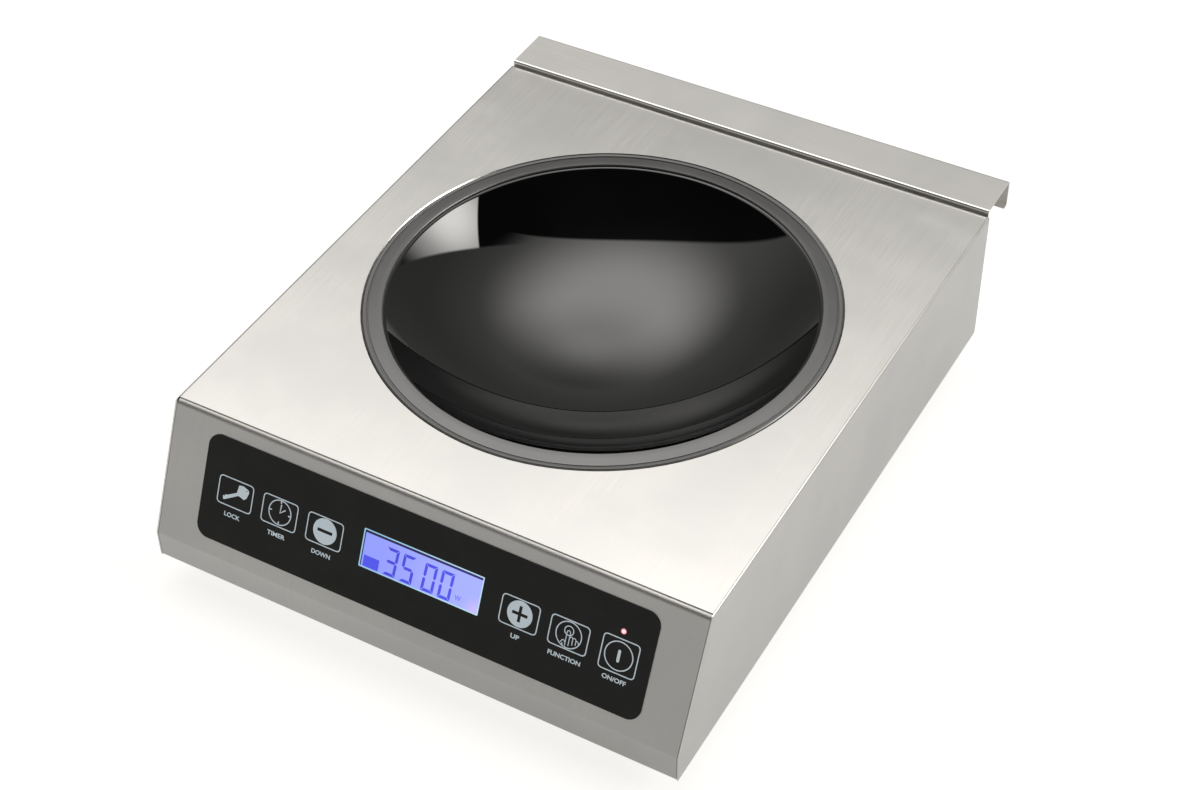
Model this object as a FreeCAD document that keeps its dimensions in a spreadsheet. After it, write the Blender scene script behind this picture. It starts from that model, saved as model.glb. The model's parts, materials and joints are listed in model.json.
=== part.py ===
"""Counter-top induction wok cooker: a bent steel case around a round glass bowl, its coil and its electronics.

Millimetres. +X is the cooker's right seen from the front, +Y its back and +Z up. The origin lies on the
surface that the feet stand on, under the middle of the whole cooker.
"""
import FreeCAD, Part
import math
import os
import re

import Sketcher
from FreeCAD import Placement, Rotation, Vector

DIMENSIONS = {
    # the whole cooker
    "width": 340,
    "depth": 438,
    "foot_height": 20,
    "deck_top": 115,
    "deck_rear": 183.5,
    "sheet": 1,
    "bend": 2,
    "fit_gap": 0.3,
    # the bent front: a low upright face, then a slope up to the deck
    "crease_height": 18.5,
    "tilt": 64.5,
    "slope_bend": 4,
    "crease_bend": 3,
    "deck_front_step": 1.5,
    "front_flange": 16,
    "case_flange": 12,
    "rear_corner_cut": 4.5,
    "tray_wall": 28,
    # exhaust hood
    "hood_rise": 3.2,
    "hood_half_width": 168.5,
    "hood_flange": 22,
    "hood_lip": 18.8,
    "hood_hem": 4.5,
    # bowl, its ring and its carrier
    "bowl_y": 4.5,
    "bowl_sphere": 186,
    "bowl_depth": 52,
    "glass": 5,
    "cutout_radius": 141.3,
    "cutout_bevel": 0.6,
    "ring_radius": 141,
    "ring_inner": 128.8,
    "ring_groove": 138,
    "ring_leg": 5,
    "carrier_inner": 127.5,
    "carrier_outer": 158,
    "carrier_drop": 8,
    "stud_circle": 151,
    # coil
    "coil_wire": 2,
    "coil_start": 30,
    "coil_turns": 16,
    "coil_pitch": 4.3,
    "former_inner": 22,
    "former_outer": 100,
    "former_wall": 2,
    "lug_circle": 106,
    "lug_width": 16,
    "ferrite_length": 46,
    "ferrite_width": 12,
    "ferrite_thickness": 4,
    # fans
    "fan_x": 105,
    "fan_y": -95,
    "fan_size": 80,
    "fan_height": 25,
    "fan_bore": 38.3,
    "fan_hub": 15.5,
    "blade_tip": 36.5,
    "bearing_bore": 1.55,
    "shaft_radius": 1.5,
    # feet and fasteners
    "foot_x": 130,
    "foot_front": -179,
    "foot_rear": 144,
    "foot_radius": 15,
    "screw_radius": 1.95,
    "screw_hole": 2.2,
    "head_radius": 3.8,
    "head_height": 2.2,
    "nut_flats": 7,
    "nut_height": 3.2,
    # mains entry
    "gland_x": -140,
    "gland_z": 50,
    "gland_thread": 10,
    "gland_bore": 4.2,
    # power electronics
    "board_front": 42,
    "board_rear": 162,
    "board_half_width": 78,
    "board_lift": 8,
    "board_thickness": 1.6,
    "sink_front": 118,
    "sink_rear": 158,
    "sink_half_width": 62,
    "sink_base": 37,
    "sink_top": 66,
    # control panel, measured up the slope from the crease
    "overlay_half_width": 143.5,
    "overlay_low": 10.2,
    "overlay_high": 74,
    "overlay_round": 8,
    "overlay_thickness": 0.6,
    "key_row": 42.9,
    "key_width": 23.8,
    "key_height": 17.6,
    "power_key_width": 22.2,
    "power_key_height": 20.8,
    "key_round": 2.4,
    "key_gap": 0.12,
    "key_pitch": 30.2,
    "left_keys": -121.2,
    "right_keys": 64.4,
    "stem_radius": 1.7,
    "stem_reach": 4.8,
    "display_x": 2,
    "display_y": 43.5,
    "display_width": 76.8,
    "display_height": 23.2,
    "lamp_x": 124.3,
    "lamp_y": 57.4,
    "lamp_radius": 1.5,
    "control_gap": 8,
}

KEYS = ("lock", "timer", "down", "up", "function", "power")

doc = FreeCAD.newDocument("wok_cooker")
cells = doc.addObject("Spreadsheet::Sheet", "dim")
for row, (alias, number) in enumerate(DIMENSIONS.items(), start=1):
    cells.set(f"A{row}", alias)
    cells.set(f"B{row}", str(number))
    cells.setAlias(f"B{row}", alias)
sums = doc.addObject("Spreadsheet::Sheet", "sums")
doc.recompute()

ALIAS = re.compile(r"\b(" + "|".join(DIMENSIONS) + r")\b")

# Heights and places that follow from the cells, written once and used as formulas below.
TRAY_UNDER = "(foot_height + sheet)"
TRAY_TOP = "(foot_height + 2 * sheet)"
UNDER_DECK = "(deck_top - sheet)"
CREASE_Z = "(foot_height + crease_height)"
FRONT_Y = "(-depth / 2)"
SPHERE_Z = "(deck_top - bowl_depth + bowl_sphere)"
HOOD_TOP = "(deck_top + hood_rise)"
PANEL_REAR = "(deck_rear + sheet)"
BOARD_TOP = "(foot_height + 2 * sheet + board_lift + board_thickness)"


def formula(text):
    """Write a formula with every cell name pointing at its cell."""
    return ALIAS.sub(r"dim.\1", str(text))


def number(text):
    """The present value of a formula, worked out in a spare sheet."""
    sums.set("A1", "=" + formula(text))
    sums.recompute()
    return float(sums.get("A1"))


def bind(item, path, text):
    """Tie one property of an object to a formula of the cells."""
    item.setExpression(path, formula(text))


def new_body(label):
    """A sub-part that may hold several separate solids of one kind."""
    body = doc.addObject("PartDesign::Body", label)
    body.AllowCompound = True
    return body


def place(body, x=0, y=0, z=0, turn=None):
    """Move a sub-part; turn is a formula for its angle about +X."""
    if turn is not None:
        body.Placement = Placement(Vector(), Rotation(Vector(1, 0, 0), 1))
        bind(body, ".Placement.Rotation.Angle", turn)
    for axis, text in zip("xyz", (x, y, z)):
        bind(body, ".Placement.Base." + axis, text)


def on_slope(body):
    """Put a sub-part in the slope's own frame: +X right, +Y up the slope from the crease, +Z outward."""
    place(body, 0, FRONT_Y, CREASE_Z, "tilt")


def sketch(body, plane, offset=0, slope=False):
    """A sketch on one of the body's origin planes, moved along the plane's normal or onto the slope."""
    flat = body.newObject("Sketcher::SketchObject", body.Label + "_sketch")
    origin = [part for part in body.Origin.OriginFeatures if part.Role == plane][0]
    flat.AttachmentSupport = [(origin, "")]
    flat.MapMode = "FlatFace"
    if slope:
        flat.AttachmentOffset = Placement(Vector(), Rotation(Vector(1, 0, 0), 1))
        bind(flat, ".AttachmentOffset.Rotation.Angle", "tilt")
        bind(flat, ".AttachmentOffset.Base.y", FRONT_Y)
        bind(flat, ".AttachmentOffset.Base.z", CREASE_Z)
    else:
        bind(flat, ".AttachmentOffset.Base.z", offset)
    return flat


def constrain(flat, kind, geometry, text):
    """Add one dimension to a sketch and tie it to its formula."""
    index = flat.addConstraint(Sketcher.Constraint(kind, *geometry, number(text)))
    bind(flat, f"Constraints[{index}]", text)


def pin_point(flat, curve, end, x, y):
    """Fix one end of a curve, or its centre, at two formulas."""
    constrain(flat, "DistanceX", (-1, 1, curve, end), x)
    constrain(flat, "DistanceY", (-1, 1, curve, end), y)


def add_polygon(flat, corners):
    """A closed outline through corners that are pairs of formulas."""
    spots = [Vector(number(x), number(y), 0) for x, y in corners]
    first = flat.GeometryCount
    for here, there in zip(spots, spots[1:] + spots[:1]):
        flat.addGeometry(Part.LineSegment(here, there), False)
    for index, (x, y) in enumerate(corners):
        following = first + (index + 1) % len(corners)
        flat.addConstraint(Sketcher.Constraint("Coincident", first + index, 2, following, 1))
        pin_point(flat, first + index, 1, x, y)


def add_rectangle(flat, x_middle, y_middle, x_size, y_size):
    """A rectangle about a middle."""
    left = f"({x_middle}) - ({x_size}) / 2"
    right = f"({x_middle}) + ({x_size}) / 2"
    low = f"({y_middle}) - ({y_size}) / 2"
    high = f"({y_middle}) + ({y_size}) / 2"
    add_polygon(flat, [(left, low), (right, low), (right, high), (left, high)])


def add_circle(flat, x, y, radius):
    """A circle about a point."""
    circle = Part.Circle(Vector(number(x), number(y), 0), Vector(0, 0, 1), number(radius))
    index = flat.addGeometry(circle, False)
    pin_point(flat, index, 3, x, y)
    constrain(flat, "Radius", (index,), radius)


def add_dish(flat, inner, outer, start, stop, level=None):
    """A strip between two spheres about the bowl's sphere centre, from one radius to another.

    With a level, the strip ends there on a flat top instead.
    """
    ends = []
    for radius in (inner, outer):
        reach = f"sqrt(({radius})^2 - ({SPHERE_Z} - ({level}))^2)" if level else stop
        centre = Vector(0, number(SPHERE_Z), 0)
        low = -math.acos(number(start) / number(radius))
        high = -math.acos(number(reach) / number(radius))
        circle = Part.Circle(centre, Vector(0, 0, 1), number(radius))
        index = flat.addGeometry(Part.ArcOfCircle(circle, low, high), False)
        pin_point(flat, index, 3, 0, SPHERE_Z)
        constrain(flat, "Radius", (index,), radius)
        constrain(flat, "DistanceX", (-1, 1, index, 1), start)
        constrain(flat, "DistanceX", (-1, 1, index, 2), reach)
        ends.append(index)
    for end in (1, 2):
        spots = [flat.getPoint(index, end) for index in ends]
        line = flat.addGeometry(Part.LineSegment(*spots), False)
        flat.addConstraint(Sketcher.Constraint("Coincident", line, 1, ends[0], end))
        flat.addConstraint(Sketcher.Constraint("Coincident", line, 2, ends[1], end))


def grow(body, flat, kind, **sizes):
    """Add a feature to the body from a sketch; a cut that removes nothing is an error."""
    doc.recompute()
    before = body.Shape.Volume if body.Tip else 0
    feature = body.newObject("PartDesign::" + kind, body.Label + "_" + kind.lower())
    feature.Profile = flat
    for name, amount in sizes.items():
        if isinstance(amount, str) and name in ("Length", "Length2", "Angle", "TaperAngle"):
            bind(feature, name, amount)
        else:
            setattr(feature, name, amount)
    doc.recompute()
    body.Tip = feature
    doc.recompute()
    change = body.Shape.Volume - before
    removes = kind in ("Pocket", "Groove")
    if removes == (change > 0) or abs(change) < 1e-6:
        raise RuntimeError(f"{feature.Name} changed the volume by {change:.4f}")
    return feature


def pad(body, flat, length, both_ways=False, back=False):
    """Thicken a sketch into a solid."""
    side = "Symmetric" if both_ways else "One side"
    return grow(body, flat, "Pad", Length=str(length), SideType=side, Reversed=back)


def cut(body, flat, length=None, both_ways=False, back=False):
    """Cut a sketch out of the solid, right through where no length is given."""
    side = "Symmetric" if both_ways else "One side"
    if length is None:
        return grow(body, flat, "Pocket", Type="ThroughAll", SideType=side, Reversed=back)
    return grow(body, flat, "Pocket", Length=str(length), SideType=side, Reversed=back)


def turn_round(body, flat):
    """Turn a sketch about its own vertical axis."""
    return grow(body, flat, "Revolution", ReferenceAxis=(flat, ["V_Axis"]), Angle=360)


def ring_of(body, feature, count):
    """Repeat a feature about the body's Z axis."""
    doc.recompute()
    pattern = body.newObject("PartDesign::PolarPattern", body.Label + "_ring")
    axis = [part for part in body.Origin.OriginFeatures if part.Role == "Z_Axis"][0]
    pattern.Originals = [feature]
    pattern.Axis = (axis, [""])
    pattern.Angle = 360
    pattern.Occurrences = count
    body.Tip = pattern
    doc.recompute()


def round_corners(body, flat, radii):
    """Fillet the edges that run out of the sketch's corners; radii maps a radius to corner numbers."""
    for radius, corners in radii.items():
        doc.recompute()
        tip = body.Tip
        frame = flat.Placement
        normal = frame.Rotation.multVec(Vector(0, 0, 1))
        names = []
        for corner in corners:
            spot = frame.multVec(flat.getPoint(corner, 1))
            for index, edge in enumerate(tip.Shape.Edges, start=1):
                ends = [vertex.Point for vertex in edge.Vertexes]
                if len(ends) < 2:
                    continue
                along = ends[1] - ends[0]
                if along.Length < 1e-6 or along.cross(normal).Length > 1e-6 * along.Length:
                    continue
                offset = (ends[0] - spot).cross(normal)
                if offset.Length < 1e-5:
                    names.append(f"Edge{index}")
        if len(names) < len(corners):
            raise RuntimeError(f"{body.Label}: {len(names)} edges for {len(corners)} corners")
        fillet = body.newObject("PartDesign::Fillet", body.Label + "_fillet")
        fillet.Base = (tip, names)
        bind(fillet, "Radius", radius)
        body.Tip = fillet
        doc.recompute()


def polygon_body(label, plane, corners, length, offset=0, radii=None, both_ways=False, back=False):
    """A sub-part that is one outline, thickened, with its bends."""
    body = new_body(label)
    flat = sketch(body, plane, offset)
    add_polygon(flat, corners)
    pad(body, flat, length, both_ways, back)
    if radii:
        round_corners(body, flat, radii)
    return body


def discs(label, places, radius, low, high):
    """Separate upright cylinders of one size."""
    body = new_body(label)
    flat = sketch(body, "XY_Plane", low)
    for x, y in places:
        add_circle(flat, x, y, radius)
    pad(body, flat, f"({high}) - ({low})")
    return body


def add_discs(body, places, radius, low, high):
    """More upright cylinders on a body."""
    flat = sketch(body, "XY_Plane", low)
    for x, y in places:
        add_circle(flat, x, y, radius)
    pad(body, flat, f"({high}) - ({low})")


def cut_discs(body, places, radius, low, high):
    """Upright round holes between two heights."""
    flat = sketch(body, "XY_Plane", low)
    for x, y in places:
        add_circle(flat, x, y, radius)
    cut(body, flat, f"({high}) - ({low})", back=True)


def blocks(label, boxes):
    """Separate upright blocks: (x middle, y middle, x size, y size, low, high) each."""
    body = new_body(label)
    add_blocks(body, boxes)
    return body


def add_blocks(body, boxes):
    """Upright blocks on a body."""
    for x, y, x_size, y_size, low, high in boxes:
        flat = sketch(body, "XY_Plane", low)
        add_rectangle(flat, x, y, x_size, y_size)
        pad(body, flat, f"({high}) - ({low})")


def cut_blocks(body, boxes):
    """Upright rectangular holes."""
    for x, y, x_size, y_size, low, high in boxes:
        flat = sketch(body, "XY_Plane", low)
        add_rectangle(flat, x, y, x_size, y_size)
        cut(body, flat, f"({high}) - ({low})", back=True)


def around(count, radius, start=0.0):
    """Evenly spaced points on a circle about the bowl's axis, in a body that is placed on that axis."""
    step = 360.0 / count
    angles = [start + step * index for index in range(count)]
    return [(f"({radius}) * cos({angle})", f"({radius}) * sin({angle})") for angle in angles]


# ---------------------------------------------------------------- the case

SLOPE_TOP_Y = f"({FRONT_Y} + (deck_top - {CREASE_Z}) / tan(tilt))"
DECK_FRONT = f"({SLOPE_TOP_Y} + deck_front_step)"
INSIDE = "(width / 2 - sheet)"
STUD_PLACES = around(8, "stud_circle", 22.5)
FOOT_PLACES = [(side + "foot_x", y) for side in ("-", "") for y in ("foot_front", "foot_rear")]
SIDE_SCREWS = [(f"{side}({INSIDE} - 6.2)", y) for side in ("-", "") for y in (-150, 0, 150)]
FRONT_SCREWS = [(x, f"{FRONT_Y} + 8") for x in (-100, 0, 100)]
REAR_SCREWS = [(x, "deck_rear - 7") for x in (-100, 0, 100)]
HOOD_SCREWS = (-140, -70, 0, 70, 140)
HOOD_SCREW_Z = f"({UNDER_DECK} - 13)"


def make_top_cover():
    """Deck and both sides, one sheet bent into a tunnel, with the round cut-out for the bowl."""
    body = new_body("top_cover")
    half = "width / 2"
    lip = f"({half} - case_flange)"
    flat = sketch(body, "XZ_Plane", "-deck_rear")
    right = [
        (half, "deck_top"),
        (half, "foot_height"),
        (lip, "foot_height"),
        (lip, TRAY_UNDER),
        (INSIDE, TRAY_UNDER),
        (INSIDE, UNDER_DECK),
    ]
    left = [(f"-{x}", z) for x, z in reversed(right)]
    add_polygon(flat, right + left)
    pad(body, flat, "deck_rear + depth / 2")
    round_corners(body, flat, {"bend": [0, 1, 10, 11], "bend - sheet": [4, 5, 6, 7]})

    slope = sketch(body, "YZ_Plane")
    ahead = f"{FRONT_Y} - 20"
    add_polygon(slope, [(FRONT_Y, CREASE_Z), (SLOPE_TOP_Y, "deck_top"), (SLOPE_TOP_Y, "deck_top + 20"),
                        (ahead, "deck_top + 20"), (ahead, CREASE_Z)])
    cut(body, slope, "width * 2", both_ways=True)
    corner = sketch(body, "YZ_Plane")
    add_polygon(corner, [("deck_rear", "foot_height"), ("deck_rear", "foot_height + rear_corner_cut"),
                         ("deck_rear - rear_corner_cut", "foot_height")])
    cut(body, corner, "width * 2", both_ways=True)

    front_strip = f"{SLOPE_TOP_Y} - 1"
    cut_blocks(body, [
        (0, f"({front_strip} + {DECK_FRONT}) / 2", f"2 * {INSIDE}", f"{DECK_FRONT} - ({front_strip})",
         f"{UNDER_DECK} - 2", "deck_top + 1"),
        (0, f"{FRONT_Y} + front_flange / 2", f"2 * {INSIDE}", "front_flange + 2",
         "foot_height - 1", "foot_height + bend + 0.5"),
    ])
    cut_discs(body, [(0, "bowl_y")], "cutout_radius", f"{UNDER_DECK} - 1", "deck_top + 1")
    bevel_rim(body)
    cut_discs(body, SIDE_SCREWS, "screw_hole", "foot_height - 1", "foot_height + 2")


def bevel_rim(body):
    """Bevel the upper edge of the bowl's cut-out."""
    flat = sketch(body, "XZ_Plane", "-bowl_y")
    inner = "cutout_radius - 0.1"
    high = "deck_top + 0.1"
    add_polygon(flat, [
        (inner, high),
        (inner, "deck_top - cutout_bevel - 0.1"),
        ("cutout_radius + cutout_bevel + 0.1", high),
    ])
    grow(body, flat, "Groove", ReferenceAxis=(flat, ["V_Axis"]), Angle=360)


def make_base_tray():
    """Floor of the case: a shallow channel with two fields of air slots."""
    wall = f"({INSIDE} - 0.1)"
    rim = "(foot_height + sheet + tray_wall)"
    right = [
        (wall, TRAY_UNDER),
        (wall, rim),
        (f"{wall} - sheet", rim),
        (f"{wall} - sheet", TRAY_TOP),
    ]
    left = [(f"-({x})", z) for x, z in reversed(right)]
    body = new_body("base_tray")
    flat = sketch(body, "XZ_Plane", "-(deck_rear - 0.1)")
    add_polygon(flat, right + left)
    pad(body, flat, "deck_rear - 0.1 + depth / 2 - sheet - bend")
    round_corners(body, flat, {"bend": [0, 7], "bend - sheet": [3, 4]})
    nose = sketch(body, "YZ_Plane")
    clear = f"({FRONT_Y} + front_flange - 2)"
    add_polygon(nose, [(f"{FRONT_Y} - 5", TRAY_TOP), (clear, TRAY_TOP), (clear, f"{rim} + 5"),
                       (f"{FRONT_Y} - 5", f"{rim} + 5")])
    cut(body, nose, "width * 2", both_ways=True)
    for side in ("-", ""):
        field = sketch(body, "XY_Plane", f"{TRAY_UNDER} - 1")
        for step in range(-4, 5):
            reach = f"2 * sqrt((fan_bore - 4)^2 - ({step} * 7.5)^2)"
            add_rectangle(field, f"{side}fan_x", f"fan_y + {step} * 7.5", reach, 3.5)
        cut(body, field, "sheet + 2", back=True)
    holes = SIDE_SCREWS + FRONT_SCREWS + REAR_SCREWS + FOOT_PLACES + fan_corners()
    cut_discs(body, holes, "screw_hole", f"{TRAY_UNDER} - 1", f"{TRAY_TOP} + 1")


def fan_corners():
    """The four fixing holes of both fans."""
    reach = "(fan_size / 2 - 4.25)"
    return [(f"{side}fan_x {x} {reach}", f"fan_y {y} {reach}")
            for side in ("-", "") for x in "+-" for y in "+-"]


def make_front_panel():
    """Bent front: flange under the deck, slope with the control windows, upright face and bottom flange."""
    outer_top = f"({FRONT_Y} + ({UNDER_DECK} - {CREASE_Z}) / tan(tilt))"
    slant = "(sheet / sin(tilt))"
    inner_top = f"({FRONT_Y} + ({UNDER_DECK} - sheet - {CREASE_Z}) / tan(tilt) + {slant})"
    inner_crease = f"({CREASE_Z} + tan(tilt) * (sheet - {slant}))"
    top_end = f"({SLOPE_TOP_Y} + front_flange)"
    bottom_end = f"({FRONT_Y} + front_flange)"
    corners = [
        (top_end, UNDER_DECK),
        (outer_top, UNDER_DECK),
        (FRONT_Y, CREASE_Z),
        (FRONT_Y, "foot_height"),
        (bottom_end, "foot_height"),
        (bottom_end, TRAY_UNDER),
        (f"{FRONT_Y} + sheet", TRAY_UNDER),
        (f"{FRONT_Y} + sheet", inner_crease),
        (inner_top, f"{UNDER_DECK} - sheet"),
        (top_end, f"{UNDER_DECK} - sheet"),
    ]
    radii = {
        "slope_bend": [1],
        "crease_bend": [2],
        "bend": [3],
        "bend - sheet": [6],
        "crease_bend - sheet": [7],
        "slope_bend - sheet": [8],
    }
    length = f"2 * ({INSIDE} - fit_gap)"
    body = polygon_body("front_panel", "YZ_Plane", corners, length, radii=radii, both_ways=True)
    windows = sketch(body, "XY_Plane", slope=True)
    for x, y, x_size, y_size in key_windows("key_gap + 0.5"):
        add_rectangle(windows, x, y, x_size, y_size)
    add_rectangle(windows, "display_x", "display_y", "display_width + 2", "display_height + 2")
    add_circle(windows, "lamp_x", "lamp_y", "lamp_radius + 0.5")
    cut(body, windows, "sheet * 2", both_ways=True)
    cut_discs(body, FRONT_SCREWS, "screw_hole", "foot_height - 1", f"{TRAY_UNDER} + 1")
    cut_blocks(body, [(f"{side}({INSIDE} - 0.7)", f"{SLOPE_TOP_Y} + front_flange / 2 + 2", 1.8, "front_flange",
                       f"{UNDER_DECK} - 2", f"{UNDER_DECK} + 1") for side in ("-", "")])


def key_places():
    """Middle and size of each key on the slope."""
    places = []
    for index, name in enumerate(KEYS):
        start = "left_keys" if index < 3 else "right_keys"
        width, height = ("key_width", "key_height")
        if name == "power":
            width, height = ("power_key_width", "power_key_height")
        places.append((f"({start} + {index % 3} * key_pitch)", "key_row", width, height))
    return places


def key_windows(margin):
    """The keys' rectangles with a margin all round."""
    return [(x, y, f"({width} + 2 * ({margin}))", f"({height} + 2 * ({margin}))")
            for x, y, width, height in key_places()]


def make_rear_panel():
    """Flat rear wall with louvre slots and two short flanges."""
    height = f"{UNDER_DECK} - foot_height - 0.5"
    body = new_body("rear_panel")
    plate = sketch(body, "XZ_Plane", f"-{PANEL_REAR}")
    add_rectangle(plate, 0, f"foot_height + 0.5 + ({height}) / 2", "width - 1", height)
    pad(body, plate, "sheet")
    add_blocks(body, [
        (0, "deck_rear - front_flange / 2 + 0.5", "width - 12", "front_flange + 1",
         f"{UNDER_DECK} - sheet", UNDER_DECK),
        (0, "deck_rear - front_flange / 2 + 0.5", "width - 30", "front_flange + 1",
         TRAY_TOP, f"{TRAY_TOP} + sheet"),
    ])
    louvres = sketch(body, "XZ_Plane", f"-{PANEL_REAR} - 1")
    for column in (-70, 0, 70):
        for step in range(7):
            add_rectangle(louvres, column, f"foot_height + 16 + {step} * 9", 60, 4)
    cut(body, louvres, "sheet + 1.5", back=True)
    holes = sketch(body, "XZ_Plane", f"-{PANEL_REAR} - 1")
    for x in HOOD_SCREWS:
        add_circle(holes, x, HOOD_SCREW_Z, "screw_hole")
    add_circle(holes, "gland_x", "gland_z", "gland_thread + 0.1")
    cut(body, holes, "sheet + 1.5", back=True)
    cut_discs(body, REAR_SCREWS, "screw_hole", f"{TRAY_TOP} - 1", f"{TRAY_TOP} + 2")


def make_exhaust_hood():
    """Strip over the louvres: flange on the rear wall, flat top, and a lip turned down with a hem."""
    front = PANEL_REAR
    rear = "(depth / 2)"
    low = f"({HOOD_TOP} - hood_flange)"
    lip = f"({HOOD_TOP} - hood_lip)"
    hem = f"({rear} - hood_hem)"
    corners = [
        (front, low),
        (front, HOOD_TOP),
        (rear, HOOD_TOP),
        (rear, lip),
        (hem, lip),
        (hem, f"{lip} + sheet"),
        (f"{rear} - sheet", f"{lip} + sheet"),
        (f"{rear} - sheet", f"{HOOD_TOP} - sheet"),
        (f"{front} + sheet", f"{HOOD_TOP} - sheet"),
        (f"{front} + sheet", low),
    ]
    radii = {"bend * 0.9": [1, 2, 3], "bend * 0.9 - sheet": [6, 7, 8]}
    body = polygon_body("exhaust_hood", "YZ_Plane", corners, "2 * hood_half_width", radii=radii, both_ways=True)
    holes = sketch(body, "XZ_Plane", f"-{PANEL_REAR} - sheet - 0.5")
    for x in HOOD_SCREWS:
        add_circle(holes, x, HOOD_SCREW_Z, "screw_hole")
    cut(body, holes, "sheet + 1", back=True)


def make_case_screws():
    """Pan-head screws: eight along the case's edges, four under front and rear, five through the hood."""
    body = discs("case_screws", SIDE_SCREWS + FRONT_SCREWS, "head_radius", "foot_height - head_height", "foot_height")
    add_discs(body, REAR_SCREWS, "head_radius", f"{TRAY_UNDER} - head_height", TRAY_UNDER)
    add_discs(body, SIDE_SCREWS + FRONT_SCREWS, "screw_radius", "foot_height - 0.2", "foot_height + 9")
    add_discs(body, REAR_SCREWS, "screw_radius", f"{TRAY_UNDER} - 0.2", "foot_height + 9")
    face = f"({PANEL_REAR} + sheet)"
    heads = sketch(body, "XZ_Plane", f"-({face} + head_height)")
    shanks = sketch(body, "XZ_Plane", f"-({face} + 0.2)")
    for x in HOOD_SCREWS:
        add_circle(heads, x, HOOD_SCREW_Z, "head_radius")
        add_circle(shanks, x, HOOD_SCREW_Z, "screw_radius")
    pad(body, heads, "head_height")
    pad(body, shanks, 9)


def add_hexagons(flat, places):
    """Nut outlines with their holes."""
    corner = "(nut_flats / 2 / cos(30))"
    for x, y in places:
        add_polygon(flat, [(f"({x}) + {corner} * cos({angle})", f"({y}) + {corner} * sin({angle})")
                           for angle in range(0, 360, 60)])
        add_circle(flat, x, y, "screw_radius + 0.03")


def make_lock_nuts():
    """One size of hexagon nut on every case, hood, foot and carrier screw."""
    body = new_body("lock_nuts")
    levels = (
        (SIDE_SCREWS + FRONT_SCREWS + FOOT_PLACES, TRAY_TOP),
        (REAR_SCREWS, f"{TRAY_TOP} + sheet"),
        (bowl_places(STUD_PLACES), f"{UNDER_DECK} - sheet - nut_height"),
    )
    for places, low in levels:
        flat = sketch(body, "XY_Plane", low)
        add_hexagons(flat, places)
        pad(body, flat, "nut_height")
    flat = sketch(body, "XZ_Plane", "-deck_rear")
    add_hexagons(flat, [(x, HOOD_SCREW_Z) for x in HOOD_SCREWS])
    pad(body, flat, "nut_height")


def bowl_places(places):
    """Points around the bowl's axis, in the whole cooker's frame."""
    return [(x, f"bowl_y + {y}") for x, y in places]


def make_feet():
    """Four round rubber feet with a recess for the screw's head."""
    body = new_body("rubber_feet")
    flat = sketch(body, "XY_Plane", TRAY_UNDER)
    for x, y in FOOT_PLACES:
        add_circle(flat, x, y, "foot_radius")
    grow(body, flat, "Pad", Length="foot_height + sheet", TaperAngle="-5", Reversed=True)
    cut_discs(body, FOOT_PLACES, 6, -1, 8)
    cut_discs(body, FOOT_PLACES, "screw_hole", 7, "foot_height + 2 * sheet")
    screws = discs("foot_screws", FOOT_PLACES, 5, 5, 8)
    add_discs(screws, FOOT_PLACES, "screw_radius", 7.9, "foot_height + 7")


# ---------------------------------------------------------------- bowl, ring and coil

def turned(label, corners):
    """A ring about the bowl's axis from an outline of (radius, height) pairs."""
    body = new_body(label)
    flat = sketch(body, "XZ_Plane")
    add_polygon(flat, corners)
    turn_round(body, flat)
    place(body, y="bowl_y")
    return body


def dish(label, inner, outer, start, stop, level=None):
    """A shallow spherical shell about the bowl's axis."""
    body = new_body(label)
    flat = sketch(body, "XZ_Plane")
    add_dish(flat, inner, outer, start, stop, level)
    turn_round(body, flat)
    place(body, y="bowl_y")
    return body


RING_UNDER = "(deck_top - 0.5)"
SHELF_TOP = "(deck_top - sheet - carrier_drop)"


def make_trim_ring():
    """Flexible ring: a flat band, a narrow groove, an outer lip and a leg that locates the glass."""
    top = "(deck_top + 0.25)"
    lip_top = "(deck_top + 0.4)"
    groove_floor = "(deck_top - 0.25)"
    leg_inner = "(ring_radius - ring_leg)"
    turned("trim_ring", [
        ("ring_inner", RING_UNDER),
        ("ring_inner", "deck_top - 0.1"),
        ("ring_inner + 0.5", top),
        ("ring_groove - 0.5", top),
        ("ring_groove - 0.5", groove_floor),
        ("ring_groove + 0.5", groove_floor),
        ("ring_groove + 0.5", lip_top),
        ("ring_radius - 0.6", lip_top),
        ("ring_radius", "deck_top - 0.1"),
        ("ring_radius", SHELF_TOP),
        (leg_inner, SHELF_TOP),
        (leg_inner, RING_UNDER),
    ])


def make_bowl_seal():
    """Silicone bead that carries the glass on the carrier's shelf."""
    outer_sphere = "(bowl_sphere + glass)"
    inside = "(carrier_inner + 1.5)"
    outside = "(ring_radius - ring_leg - 1.5)"
    glass_inside = f"({SPHERE_Z} - sqrt({outer_sphere}^2 - {inside}^2) - 0.12)"
    glass_outside = f"({SPHERE_Z} - sqrt({outer_sphere}^2 - {outside}^2) - 0.12)"
    turned("bowl_seal", [
        (inside, SHELF_TOP),
        (outside, SHELF_TOP),
        (outside, glass_outside),
        (inside, glass_inside),
    ])


def make_bowl_carrier():
    """Pressed steel ring: flange under the deck, a step down and the shelf for the seal."""
    wall = "(ring_radius + 0.6)"
    body = turned("bowl_carrier", [
        ("carrier_inner", f"{SHELF_TOP} - sheet"),
        (f"{wall} + sheet", f"{SHELF_TOP} - sheet"),
        (f"{wall} + sheet", f"{UNDER_DECK} - sheet"),
        ("carrier_outer", f"{UNDER_DECK} - sheet"),
        ("carrier_outer", UNDER_DECK),
        (wall, UNDER_DECK),
        (wall, SHELF_TOP),
        ("carrier_inner", SHELF_TOP),
    ])
    cut_discs(body, STUD_PLACES, "screw_hole", f"{UNDER_DECK} - 3", f"{UNDER_DECK} + 1")


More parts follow.
